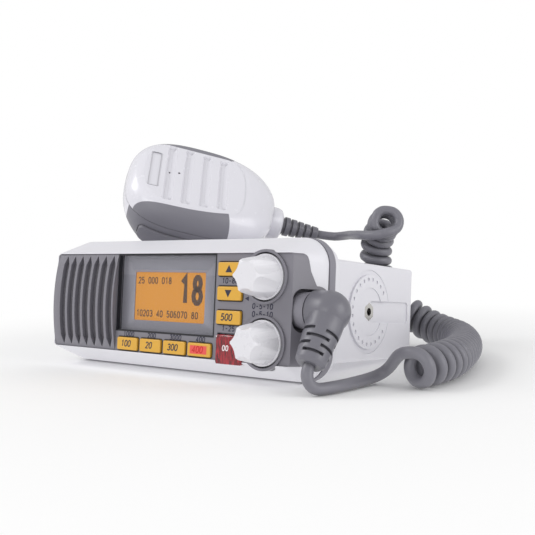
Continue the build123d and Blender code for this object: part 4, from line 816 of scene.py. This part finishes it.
@dataclass
class Numerals:
    """Plain numerals drawn with one stroke width in a box 0.6 wide and 1 high."""
    height: float
    width: float
    stroke: float
    slant: float = 0.0
    gap: float = 1.0
    BOX: ClassVar[float] = 0.6
    GLYPHS: ClassVar[dict[str, list[tuple[Outline, bool]]]] = {
        "0": [(arc(0.3, 0.7, 0.3, 0.3, 0, 180) + arc(0.3, 0.3, 0.3, 0.3, 180, 360), True)],
        "1": [([(0.08, 0.78), (0.34, 1.0), (0.34, 0.0)], False)],
        "2": [(arc(0.3, 0.72, 0.29, 0.28, 165, -20) + [(0.02, 0.0), (0.6, 0.0)], False)],
        "3": [(arc(0.3, 0.75, 0.26, 0.25, 160, -80) + arc(0.3, 0.26, 0.3, 0.26, 80, -160), False)],
        "4": [([(0.44, 0.0), (0.44, 1.0), (0.0, 0.28), (0.6, 0.28)], False)],
        "5": [([(0.56, 1.0), (0.08, 1.0), (0.05, 0.55)] + arc(0.28, 0.32, 0.31, 0.32, 120, -150), False)],
        "6": [(arc(0.36, 0.62, 0.32, 0.38, 70, 180) + arc(0.3, 0.31, 0.29, 0.31, 180, 530), False)],
        "7": [([(0.0, 1.0), (0.6, 1.0), (0.2, 0.0)], False)],
        "8": [(arc(0.3, 0.76, 0.24, 0.24, 0, 360), True), (arc(0.3, 0.27, 0.3, 0.27, 0, 360), True)],
        "-": [([(0.05, 0.45), (0.5, 0.45)], False)],
    }

    def span(self, text: str) -> float:
        """Width of a line."""
        return len(text) * self.width + (len(text) - 1) * self.gap

    def draw(self, text: str, left: float, foot: float) -> list[Outline]:
        """Outlines of a line of numerals from its lower left corner.

        Args:
            text: the line.
            left: its left end.
            foot: its foot.

        Returns:
            The outlines.
        """
        outlines = []
        for index, sign in enumerate(text):
            x0 = left + index * (self.width + self.gap)
            for path, closed in self.GLYPHS.get(sign, []):
                points = [(x0 + x / self.BOX * self.width + y * self.slant * self.height,
                           foot + y * self.height) for x, y in path]
                if closed and (Vector(points[0]) - Vector(points[-1])).length < TINY:
                    points = points[:-1]
                outlines += ribbon(points, self.stroke, closed)
        return outlines

    def centred(self, text: str, middle: float, foot: float) -> list[Outline]:
        """Outlines of a line of numerals about a middle."""
        return self.draw(text, middle - self.span(text) / 2 - self.slant * self.height / 2, foot)


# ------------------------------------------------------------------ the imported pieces
@dataclass
class PackedPieces:
    """Finishes and softened edges of the pieces that come with the frame."""
    edge: float = 0.28
    turn: float = 32.0
    weld: float = 0.002
    segments: int = 2
    softened: tuple[str, ...] = ("bezel", "front_panel", "volume_knob", "squelch_knob", "plug_boot",
                                 "plug_ring", "mic_collar", "gasket", "distress_cover", "heat_sink")

    def dress(self) -> None:
        """Give each piece its finish and take the hard line off its edges."""
        nodes = frame["nodes"]
        for finish, names in NODE_FINISHES.items():
            for name in names:
                data = nodes[name].data
                data.materials.clear()
                data.materials.append(finish.material())
        for name in self.softened:
            self.soften(nodes[name])
        log.info("dressed %d packed pieces", len(nodes))

    def soften(self, piece: bpy.types.Object) -> None:
        """Round a piece's edges a little with modifiers.

        Args:
            piece: the piece.
        """
        weld = piece.modifiers.new("weld", "WELD")
        weld.merge_threshold = self.weld * MM
        bevel = piece.modifiers.new("edge", "BEVEL")
        bevel.width = self.edge * MM
        bevel.segments = self.segments
        bevel.limit_method = "ANGLE"
        bevel.angle_limit = radians(self.turn)
        bevel.harden_normals = True
        bevel.use_clamp_overlap = True


# ------------------------------------------------------------------ display
@dataclass
class Display:
    """What the display shows, and painted shade round its window: black strips on the recess walls and a
    black band round its edge.
    """
    level: Matrix
    face: float = 3.55
    thick: float = 0.04
    window: Box4 = (-32.8, 37.7, 20.2, 61.0)
    recess_shade_width: float = 0.12
    recess_shade_front: float = 0.02
    recess_shade_back: float = 1.95
    edge_shade_width: float = 0.75
    edge_shade_out: float = 0.06
    channel: Numerals = field(default_factory=lambda: Numerals(13.4, 5.2, 2.9, gap=3.6))
    channel_line: Line = ("18", 11.3, 36.2)
    small: Numerals = field(default_factory=lambda: Numerals(3.2, 1.6, 0.6, gap=0.95))
    small_lines: tuple[Line, ...] = (("25 000 018", -20.9, 46.0), ("10203 40 506070 80", -21.4, 28.2))

    def build(self) -> None:
        """Large channel number, two rows of small numbers, and the painted shade round the window."""
        segments = Build("display_numbers", self.level)
        outlines = self.channel.draw(*self.channel_line)
        for line in self.small_lines:
            outlines += self.small.draw(*line)
        segments.prisms(outlines, self.face, self.face + self.thick)
        segments.piece(SEGMENT, Body.RADIO, Slot.DISPLAY)
        self.painted_recess_shade()

    def painted_recess_shade(self) -> None:
        """Painted shade: thin black strips along the walls of the window's recess, and a black band round its
        edge on the front.
        """
        left, right, low, high = self.window
        recess_shade = Build("window_recess_painted_shade", self.level)
        recess_shade.prisms(strips(left, right, low, high, self.recess_shade_width), self.recess_shade_front, self.recess_shade_back)
        recess_shade.piece(PAINTED_SHADE, Body.RADIO, Slot.INNER)
        w = self.edge_shade_width
        border = Build("window_edge_painted_shade", self.level)
        border.prisms(strips(left - w, right + w, low - w, high + w, w), -self.edge_shade_out, self.edge_shade_out)
        border.piece(PAINTED_SHADE, Body.RADIO, Slot.INNER)


# ------------------------------------------------------------------ keys and panel marks
@dataclass
class Legends:
    """Numbers and arrows on the keys, each on its own key, and small numbers on the panel."""
    level: Matrix
    key_face: float = -1.3
    cover_face: float = -1.1
    ink: float = 0.03
    row: tuple[float, ...] = (-23.1, -5.55, 12.0, 29.55)
    row_z: float = 12.8
    row_shift: float = -0.6
    row_texts: tuple[str, ...] = ("100", "20", "300")
    column_x: float = 48.1
    column_z: tuple[float, ...] = (53.9, 41.8, 29.9)
    foot: float = -1.4
    enter_line: tuple[str, float] = ("500", -0.8)
    arrow_x: float = 47.6
    arrow_half: float = 2.2
    arrow_base: float = 1.7
    arrow_tip: float = 2.0
    numerals: Numerals = field(default_factory=lambda: Numerals(3.1, 1.7, 0.62, slant=0.18, gap=0.85))
    marks: Numerals = field(default_factory=lambda: Numerals(2.4, 1.35, 0.56, slant=0.1, gap=0.8))
    inlay: Point2 = (11.4, 4.2)
    inlay_shift: float = -0.2
    inlay_round: float = 0.3
    inlay_line: tuple[str, float] = ("400", -0.4)
    row_marks: tuple[str, ...] = ("1000", "200", "3000", "400")
    row_marks_z: float = 16.85
    column_shift: float = -0.5
    column_marks: tuple[tuple[str, float], ...] = (("10-88", 46.9), ("1-25", 23.3))
    knob_marks_x: float = 68.6
    knob_marks: tuple[tuple[str, float], ...] = (("0-5-10", 34.9), ("0-5-10", 31.1))
    pointer: tuple[Point2, ...] = ((57.5, 39.6), (60.0, 40.8), (60.0, 38.4))
    cover_shift: float = -1.0
    cover_line: tuple[str, float] = ("00", 13.6)
    key_size: Point2 = (15.6, 6.8)
    shade_ring_offset: float = 0.25
    shade_ring_width: float = 0.38
    shade_ring_round: float = 1.0

    def build(self) -> None:
        """Every legend of the front."""
        for key, x, text in zip((Body.KEY_1, Body.KEY_2, Body.KEY_3), self.row, self.row_texts):
            self.ink_on(key, self.numerals.centred(text, x + self.row_shift, self.row_z + self.foot))
        self.red_inlay()
        up, down, enter = self.column_z
        self.ink_on(Body.KEY_UP, [self.arrow(up, 1)])
        self.ink_on(Body.KEY_DOWN, [self.arrow(down, -1)])
        text, shift = self.enter_line
        self.ink_on(Body.KEY_ENTER, self.numerals.centred(text, self.column_x + shift, enter + self.foot))
        self.panel_marks()
        self.cover_marks()
        # Painted shade round the keys' openings.
        self.key_gap_shades()

    def arrow(self, middle: float, way: int) -> Outline:
        """A triangle that points up (1) or down (-1) about a height.

        Args:
            middle: the height of its middle.
            way: 1 for up, -1 for down.

        Returns:
            The triangle.
        """
        base = middle - way * self.arrow_base
        tip = (self.arrow_x, middle + way * self.arrow_tip)
        return [(self.arrow_x - self.arrow_half, base), tip, (self.arrow_x + self.arrow_half, base)]

    def key_gap_shades(self) -> None:
        """Painted shade: a thin black ring round each key's opening in the panel, where the gap falls dark.
        """
        key_gap_shade = Build("key_gaps_painted_shade", self.level)
        half_w, half_h = (side / 2 + self.shade_ring_offset for side in self.key_size)
        w, r = self.shade_ring_width, self.shade_ring_round
        middles = [(x, self.row_z) for x in self.row] + [(self.column_x, z) for z in self.column_z]
        for x, z in middles:
            inner = rounded(x - half_w, x + half_w, z - half_h, z + half_h, r)
            outer = rounded(x - half_w - w, x + half_w + w, z - half_h - w, z + half_h + w, r + w)
            for i, spot in enumerate(inner):
                nxt = (i + 1) % len(inner)
                key_gap_shade.prism([spot, inner[nxt], outer[nxt], outer[i]], -self.ink, self.ink)
        key_gap_shade.piece(PAINTED_SHADE, Body.RADIO, Slot.INNER)

    def ink_on(self, key: Body, outlines: list[Outline]) -> None:
        """Print outlines on one key's face.

        Args:
            key: the key's body.
            outlines: what is printed.
        """
        legend = Build(f"{key.value}_legend", self.level)
        legend.prisms(outlines, self.key_face - self.ink, self.key_face + self.ink)
        legend.piece(INK, key, Slot.INNER)

    def red_inlay(self) -> None:
        """Red field on the fourth key, with its number in a deeper red."""
        x = self.row[3] + self.inlay_shift
        half_w, half_h = (side / 2 for side in self.inlay)
        inlay = Build("key_4_inlay", self.level)
        outline = rounded(x - half_w, x + half_w, self.row_z - half_h, self.row_z + half_h, self.inlay_round)
        inlay.prism(outline, self.key_face - self.ink, self.key_face + self.ink)
        inlay.piece(RED, Body.KEY_4, Slot.RED)
        text, shift = self.inlay_line
        number = Build("key_4_legend", self.level)
        number.prisms(self.numerals.centred(text, x + shift, self.row_z + self.foot),
                      self.key_face - 2 * self.ink, self.key_face)
        number.piece(KEY_RED, Body.KEY_4, Slot.RED)

    def panel_marks(self) -> None:
        """Small numbers beside the keys and between the knobs, and a pointer."""
        spots = [(text, x, self.row_marks_z) for x, text in zip(self.row, self.row_marks)]
        spots += [(text, self.column_x + self.column_shift, z) for text, z in self.column_marks]
        spots += [(text, self.knob_marks_x, z) for text, z in self.knob_marks]
        panel = Build("panel_numbers", self.level)
        for text, x, z in spots:
            panel.prisms(self.marks.centred(text, x, z), -self.ink, self.ink)
        panel.prism(list(self.pointer), -self.ink, self.ink)
        panel.piece(INK, Body.RADIO, Slot.INNER)

    def cover_marks(self) -> None:
        """The number on the hinged cover."""
        text, foot = self.cover_line
        cover = Build("cover_numbers", self.level)
        cover.prisms(self.marks.centred(text, self.column_x + self.cover_shift, foot),
                     self.cover_face - self.ink, self.cover_face + self.ink)
        cover.piece(PALE_INK, Body.COVER, Slot.COVER)


# ------------------------------------------------------------------ microphone
@dataclass
class MicFace:
    """The bare name plate's bead, the troughs' slopes and the line where the ribbed field ends."""
    mic: Matrix
    plate_x: float = -22.6
    plate_w: float = 6.8
    plate_l: float = 31.2
    plate_round: float = 1.2
    plate_sink: float = 0.1
    bead: float = 0.22
    bead_sides: int = 6
    corner_steps: int = 6
    troughs: tuple[Point2, ...] = ((-12.9, 25.4), (-1.5, 25.3), (10.0, 24.2), (21.3, 22.8))
    trough_w: float = 6.2
    trough_depth: float = 1.5
    tuck: float = 0.1
    ramp_w: float = 3.0
    ramp_end: float = 0.4
    ramp_edge: float = 0.12
    notch: float = 4.2
    edge: tuple[Point2, ...] = (
        (24.5, -27.5), (29.0, -26.0), (33.5, -21.0), (35.8, -12.0), (36.3, 0.0), (35.8, 11.0), (33.2, 19.5),
        (29.0, 24.5), (24.5, 26.5))
    edge_fine: int = 6
    edge_roundness: int = 4
    look_from: float = 12.0
    look_to: float = -30.0

    def build(self) -> None:
        """Every fine edge of the face."""
        self.plate()
        self.field_edge()
        self.ramps()

    def plate(self) -> None:
        """A fine bead round the bare plate."""
        half_w, half_l = self.plate_w / 2, self.plate_l / 2
        outline = rounded(self.plate_x - half_w, self.plate_x + half_w, -half_l, half_l, self.plate_round,
                          self.corner_steps)
        steps = [2 * pi * i / self.bead_sides for i in range(self.bead_sides)]
        section = [Vector((self.bead * cos(a), 0, self.bead * sin(a))) for a in steps]
        border = Build("mic_plate_bead", self.mic)
        border.loop([Vector((x, y, -self.plate_sink)) for x, y in outline], section)
        border.piece(WHITE_GLOSS, Body.MICROPHONE, Slot.GLOSS, smooth=True)

    def ramps(self) -> None:
        """The sloping side of each trough, notched at both ends."""
        ramp = Build("mic_trough_ramps", self.mic)
        low = -self.trough_depth - self.tuck
        for middle, half in self.troughs:
            right = middle + self.trough_w / 2 + self.tuck
            left = right - self.ramp_w
            end = right - self.ramp_end
            stations = ((-half, end), (-half + self.notch, left), (half - self.notch, left), (half, end))
            rows = [[ramp.mesh.verts.new(Vector(p) * MM) for p in
                     ((x, y, low + self.ramp_edge), (right, y, -self.ramp_edge), (right, y, low))]
                    for y, x in stations]
            for near, far in zip(rows, rows[1:]):
                ramp.bridge(near, far)
            ramp.mesh.faces.new(rows[0])
            ramp.mesh.faces.new(list(reversed(rows[-1])))
        ramp.piece(WHITE_GLOSS, Body.MICROPHONE, Slot.GLOSS)

    def field_edge(self) -> None:
        """The rounded edge where the ribbed field ends towards the cord."""
        curve = smooth_line("mic_field_edge", [self.on_face(x, y) for x, y in self.edge], self.edge_fine)
        thicken(curve, self.bead, self.edge_roundness)
        add_piece("mic_field_edge", curve, WHITE_GLOSS, Body.MICROPHONE)

    def on_face(self, x: float, y: float) -> Vector:
        """The point of the front shell over a place in the microphone's own frame.

        Args:
            x: place along the microphone.
            y: place across it.

        Returns:
            The point, in metres.
        """
        shell = frame["nodes"]["mic_front_shell"]
        back = shell.matrix_world.inverted()
        start = back @ (self.mic @ (Vector((x, y, self.look_from)) * MM))
        end = back @ (self.mic @ (Vector((x, y, self.look_to)) * MM))
        hit, place, _, _ = shell.ray_cast(start, (end - start).normalized())
        return shell.matrix_world @ place if hit else self.mic @ (Vector((x, y, 0.0)) * MM)


# ------------------------------------------------------------------ cord
@dataclass
class CurlyCord:
    """The whole cord: plain lead, coil and plain tail in one line."""
    radius: float = 2.9
    turn_radius: float = 7.3
    steps: int = 14
    first_angle: float = 106.0
    last_angle: float = -52.0
    loose: tuple[float, ...] = (10.6, 8.8, 7.2)
    pitch: float = 5.96
    tight: float = 1.03
    spread: float = 1.0
    flip: float = 181.0
    flip_run: float = 21.0
    length: float = 1.64
    fine: int = 4
    guide_fine: int = 40
    roundness: int = 5
    least_room: float = 0.36
    slip: float = 1e-9
    lead: tuple[Point3, ...] = (
        (100.5, -77.6, 13.9), (100.6, -79.7, 11.2), (101.0, -80.0, 7.8), (101.9, -78.5, 4.74),
        (103.2, -75.6, 2.95), (105.8, -69.1, 2.95), (107.5, -60.6, 2.95), (108.5, -49.6, 2.95),
        (109.4, -38.9, 3.2), (112.6, -33.9, 5.0), (116.8, -33.6, 8.4), (121.2, -37.2, 12.3),
        (126.6, -41.0, 16.6))
    route: tuple[Point3, ...] = (
        (134.0, -42.8, 10.4), (136.8, -24.0, 10.25), (134.6, 0.0, 10.25), (124.0, 36.4, 10.25),
        (107.5, 66.4, 10.3), (92.0, 80.0, 11.0), (76.0, 85.4, 15.0), (60.5, 84.5, 24.0),
        (49.6, 81.6, 35.0), (44.6, 80.3, 45.8), (43.6, 79.5, 54.1), (44.4, 78.9, 61.0),
        (46.6, 77.3, 68.2), (50.6, 74.4, 74.2), (56.0, 70.0, 78.2), (61.8, 64.0, 80.1))
    tail: tuple[Point3, ...] = (
        (63.6, 60.2, 72.8), (57.2, 56.6, 71.2), (49.0, 57.4, 71.4), (41.5, 62.2, 71.7),
        (33.5, 70.5, 71.6), (24.0, 82.0, 71.8), (13.0, 90.5, 71.2), (3.0, 91.8, 70.6), (-5.0, 85.0, 72.7))
    toward: Point3 = (0.6122, -0.7897, 0.0392)

    def build(self) -> None:
        """One spline along the lead, the coil's turns and the tail."""
        points = [Vector(p) for p in self.lead] + self.coil() + [Vector(p) for p in self.tail]
        curve = smooth_line("cord", [point * MM for point in points], self.fine)
        thicken(curve, self.radius, self.roundness)
        cord = add_piece("cord", curve, CORD, Body.RADIO)
        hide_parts("cord_lead", "coil_side", "coil_corner", "coil_rise", "cord_tail")
        log.info("cord: %d control points", len(points))

    def axis(self) -> list[Vector]:
        """The coil's own line, close points in millimetres.

        Returns:
            Points along the line.
        """
        curve = smooth_line("guide", [Vector(p) * MM for p in self.route], self.guide_fine)
        guide = bpy.data.objects.new("guide", curve)
        data = bpy.data.meshes.new_from_object(guide)
        points = [v.co / MM for v in data.vertices]
        bpy.data.meshes.remove(data)
        bpy.data.objects.remove(guide)
        bpy.data.curves.remove(curve)
        return points

    def coil(self) -> list[Vector]:
        """Control points of the coil's turns.

        The turns start loose and then touch. Where the coil bends they spread so that their inner sides
        still just touch. Behind the housing the coil changes its hand.

        Returns:
            The control points, in millimetres.
        """
        line = self.axis()
        spots = [0.0]
        for a, b in zip(line, line[1:]):
            spots.append(spots[-1] + (b - a).length)
        last = len(line) - 1
        tangents = [(line[min(i + 1, last)] - line[max(i - 1, 0)]).normalized() for i in range(len(line))]
        side = tangents[0].cross(Vector((0, 0, 1))).normalized()
        frames = []
        angle = radians(self.first_angle)
        angles = []
        turned = 0.0
        for i, tangent in enumerate(tangents):
            side = (side - tangent * side.dot(tangent)).normalized()
            frames.append((side.copy(), tangent.cross(side) * -1))
            if i:
                run = spots[i] - spots[i - 1]
                hand = self.hand(spots[i])
                step = 2 * pi * run / self.pitch_at(turned, self.bend(line, tangents, spots, i))
                angle += step * hand
                turned += step / (2 * pi)
            angles.append(angle)
        angles = self.meet_end(angles, frames[-1], spots)
        return self.turns(line, frames, angles)

    def hand(self, spot: float) -> float:
        """Which way the coil turns at a distance: -1, then +1 past the flip."""
        return max(-1.0, min(1.0, (spot - self.flip) / self.flip_run))

    def bend(self, line: list[Vector], tangents: list[Vector], spots: list[float], i: int) -> float:
        """How sharply the coil's line bends, averaged over one turn's length, per millimetre.

        Args:
            line: points of the coil's line.
            tangents: its direction at each.
            spots: its length up to each.
            i: the point to look at.

        Returns:
            The bend.
        """
        low, high = i, i
        while low > 0 and spots[i] - spots[low] < self.pitch:
            low -= 1
        while high < len(line) - 1 and spots[high] - spots[i] < self.pitch:
            high += 1
        angle = acos(max(-1.0, min(1.0, tangents[low].dot(tangents[high]))))
        return angle / max(spots[high] - spots[low], TINY)

    def pitch_at(self, turned: float, bend: float) -> float:
        """Distance between turns after a number of turns, at a bend.

        Args:
            turned: turns made so far.
            bend: the line's bend there.

        Returns:
            The pitch.
        """
        whole = int(turned)
        loose = [*self.loose, self.pitch]
        if whole < len(self.loose):
            base = loose[whole] + (loose[whole + 1] - loose[whole]) * (turned - whole)
        else:
            base = self.pitch
        room = max(self.least_room, 1 - self.spread * self.turn_radius * bend)
        return max(base, self.tight * 2 * self.radius / room)

    def meet_end(self, angles: list[float], basis: tuple[Vector, Vector], spots: list[float]) -> list[float]:
        """Stretch the second half's turns a little so that the last one ends at the wanted place.

        Args:
            angles: the angle at each point.
            basis: sides of the last point.
            spots: the line's length up to each.

        Returns:
            The angles, stretched.
        """
        toward = Vector(self.toward)
        right = Vector((0, 0, 1)).cross(toward).normalized()
        up = toward.cross(right)
        want = right * cos(radians(self.last_angle)) + up * sin(radians(self.last_angle))
        goal = atan2(want.dot(basis[1]), want.dot(basis[0]))
        slack = (goal - angles[-1] + pi) % (2 * pi) - pi
        start = self.flip + self.flip_run
        return [a + slack * max(0.0, (s - start) / (spots[-1] - start)) for a, s in zip(angles, spots)]

    def turns(self, line: list[Vector], frames: list[tuple[Vector, Vector]],
              angles: list[float]) -> list[Vector]:
        """Pick control points a fixed part of a turn apart.

        Args:
            line: points of the coil's line.
            frames: two sides at each.
            angles: the angle at each.

        Returns:
            The control points.
        """
        step = 2 * pi / self.steps
        # The curve runs inside its control points by this factor, so they lie further out.
        reach = self.turn_radius / (0.75 + 0.25 * cos(step))
        points = []
        swept = 0.0
        last = angles[0]
        due = 0.0
        for place, (side, up), angle in zip(line, frames, angles):
            swept += abs(angle - last)
            last = angle
            if swept + self.slip >= due:
                points.append(place + (side * cos(angle) + up * sin(angle)) * reach)
                due += step
        return points


# ------------------------------------------------------------------ studio
@dataclass(frozen=True)
class Lamp:
    """A soft square lamp: its name, its place and side in metres, and its power in watts."""
    name: str
    place: Point3
    size: float
    power: float


@dataclass
class Studio:
    """Plain pale floor, soft light and the camera.

    Its lengths are in metres, apart from the floor's mottle, the lens and the sensor in millimetres.
    """
    floor_half: float = 6.0
    floor_drop: float = 0.0001
    floor_tone: Colour = (0.95, 0.95, 0.95)
    floor_mottle: float = 0.01
    floor_mottle_size: float = 40.0
    white: Colour = (1.0, 1.0, 1.0)
    fade: Point2 = (0.28, 0.14)
    bounce: float = 0.55
    sky: float = 0.7
    horizon: float = 0.62
    below: float = -0.1
    eye: Point3 = (0.31546, -0.38374, 0.07316)
    yaw: float = 37.7825
    pitch: float = -2.2439
    roll: float = -1.3650
    lens: float = 56.228
    sensor: float = 36.0
    nearest: float = 0.01
    aim: Point3 = (0.0, 0.0, 0.04)
    lamps: tuple[Lamp, ...] = (
        Lamp("key_light", (-1.0, -0.8, 1.1), 0.8, 9.0),
        Lamp("side_light", (1.5, 0.2, 0.5), 1.0, 8.0),
        Lamp("front_light", (0.2, -1.7, 0.2), 1.0, 7.0))

    def build(self) -> None:
        """Camera, world, lamps and floor."""
        scene = bpy.context.scene
        scene.view_settings.view_transform = "Standard"
        self.camera(scene)
        self.world(scene)
        for lamp in self.lamps:
            self.light(lamp)
        self.floor()

    def camera(self, scene: bpy.types.Scene) -> None:
        """Look at the radio from the front, from its right, level with it.

        Args:
            scene: the scene.
        """
        a, e, r = (radians(angle) for angle in (self.yaw, self.pitch, self.roll))
        ahead = Vector((-sin(a) * cos(e), cos(a) * cos(e), sin(e)))
        right = Vector((cos(a), sin(a), 0))
        up = right.cross(ahead)
        columns = (right * cos(r) + up * sin(r), up * cos(r) - right * sin(r), -ahead)
        data = bpy.data.cameras.new("camera")
        data.lens = self.lens
        data.sensor_width = self.sensor
        data.clip_start = self.nearest
        camera = bpy.data.objects.new("camera", data)
        scene.collection.objects.link(camera)
        turn = Matrix(columns).transposed().to_4x4()
        camera.matrix_world = Matrix.Translation(Vector(self.eye)) @ turn
        scene.camera = camera

    def world(self, scene: bpy.types.Scene) -> None:
        """Even light from all round, stronger overhead, on a white background.

        Args:
            scene: the scene.
        """
        world = bpy.data.worlds.new("studio")
        graph = Graph(world)
        way = graph.take("ShaderNodeTexCoord", {}, {}, "Generated")
        height = graph.take("ShaderNodeSeparateXYZ", {}, {0: way}, "Z")
        strength = graph.take("ShaderNodeMapRange", {}, {"Value": height, "From Min": self.below,
                                                         "To Min": self.horizon, "To Max": self.sky})
        light = graph.take("ShaderNodeBackground", {}, {"Color": self.white, "Strength": strength})
        plain = graph.take("ShaderNodeBackground", {}, {"Color": self.white})
        seen = graph.take("ShaderNodeLightPath", {}, {}, "Is Camera Ray")
        mixed = graph.take("ShaderNodeMixShader", {}, {0: seen, 1: light, 2: plain})
        graph.surface(mixed, "ShaderNodeOutputWorld")
        scene.world = world

    def light(self, lamp: Lamp) -> None:
        """Hang a lamp that looks at the radio.

        Args:
            lamp: the lamp.
        """
        data = bpy.data.lights.new(lamp.name, "AREA")
        data.size = lamp.size
        data.energy = lamp.power
        made = bpy.data.objects.new(lamp.name, data)
        bpy.context.scene.collection.objects.link(made)
        made.location = lamp.place
        look = Vector(self.aim) - Vector(lamp.place)
        made.rotation_euler = look.to_track_quat("-Z", "Y").to_euler()

    def floor(self) -> None:
        """Wide pale floor that keeps the radio's soft shadow."""
        half = self.floor_half
        sheet = bmesh.new()
        corners = [sheet.verts.new((x, y, -self.floor_drop)) for x, y in
                   ((-half, -half), (half, -half), (half, half), (-half, half))]
        sheet.faces.new(corners)
        data = bpy.data.meshes.new("floor")
        sheet.to_mesh(data)
        sheet.free()
        floor = bpy.data.objects.new("floor", data)
        bpy.context.scene.collection.objects.link(floor)
        data.materials.append(self.floor_paint())
        floor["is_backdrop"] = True

    def floor_paint(self) -> bpy.types.Material:
        """Matte near-white that fades into the white background away from the radio.

        Returns:
            The material.
        """
        graph = Graph(bpy.data.materials.new("floor_paint"))
        away = graph.take("ShaderNodeVectorMath", {"operation": "LENGTH"}, {0: graph.place()}, "Value")
        seen = graph.take("ShaderNodeLightPath", {}, {}, "Is Camera Ray")
        fade = away.above(*self.fade) * seen + (1.0 - seen) * self.bounce
        mottle = graph.noise(self.floor_mottle_size) * self.floor_mottle + (1 - self.floor_mottle / 2)
        matte = graph.take("ShaderNodeBsdfDiffuse", {}, {"Color": graph.scale(self.floor_tone, mottle)})
        white = graph.take("ShaderNodeEmission", {}, {"Color": self.white, "Strength": 1.0})
        graph.surface(graph.take("ShaderNodeMixShader", {}, {0: fade, 1: matte, 2: white}))
        return graph.owner


def main() -> None:
    """Build and dress everything, in order."""
    logging.basicConfig(level=logging.INFO, format="%(name)s: %(message)s")
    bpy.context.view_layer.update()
    level = Stance().matrix()
    PackedPieces().dress()
    CurlyCord().build()
    Display(level).build()
    Legends(level).build()
    MicFace(MicPlace().matrix()).build()
    Studio().build()
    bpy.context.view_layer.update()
    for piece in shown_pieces():
        log.info("piece: %s", piece.name)


if __name__ == "__main__":
    main()
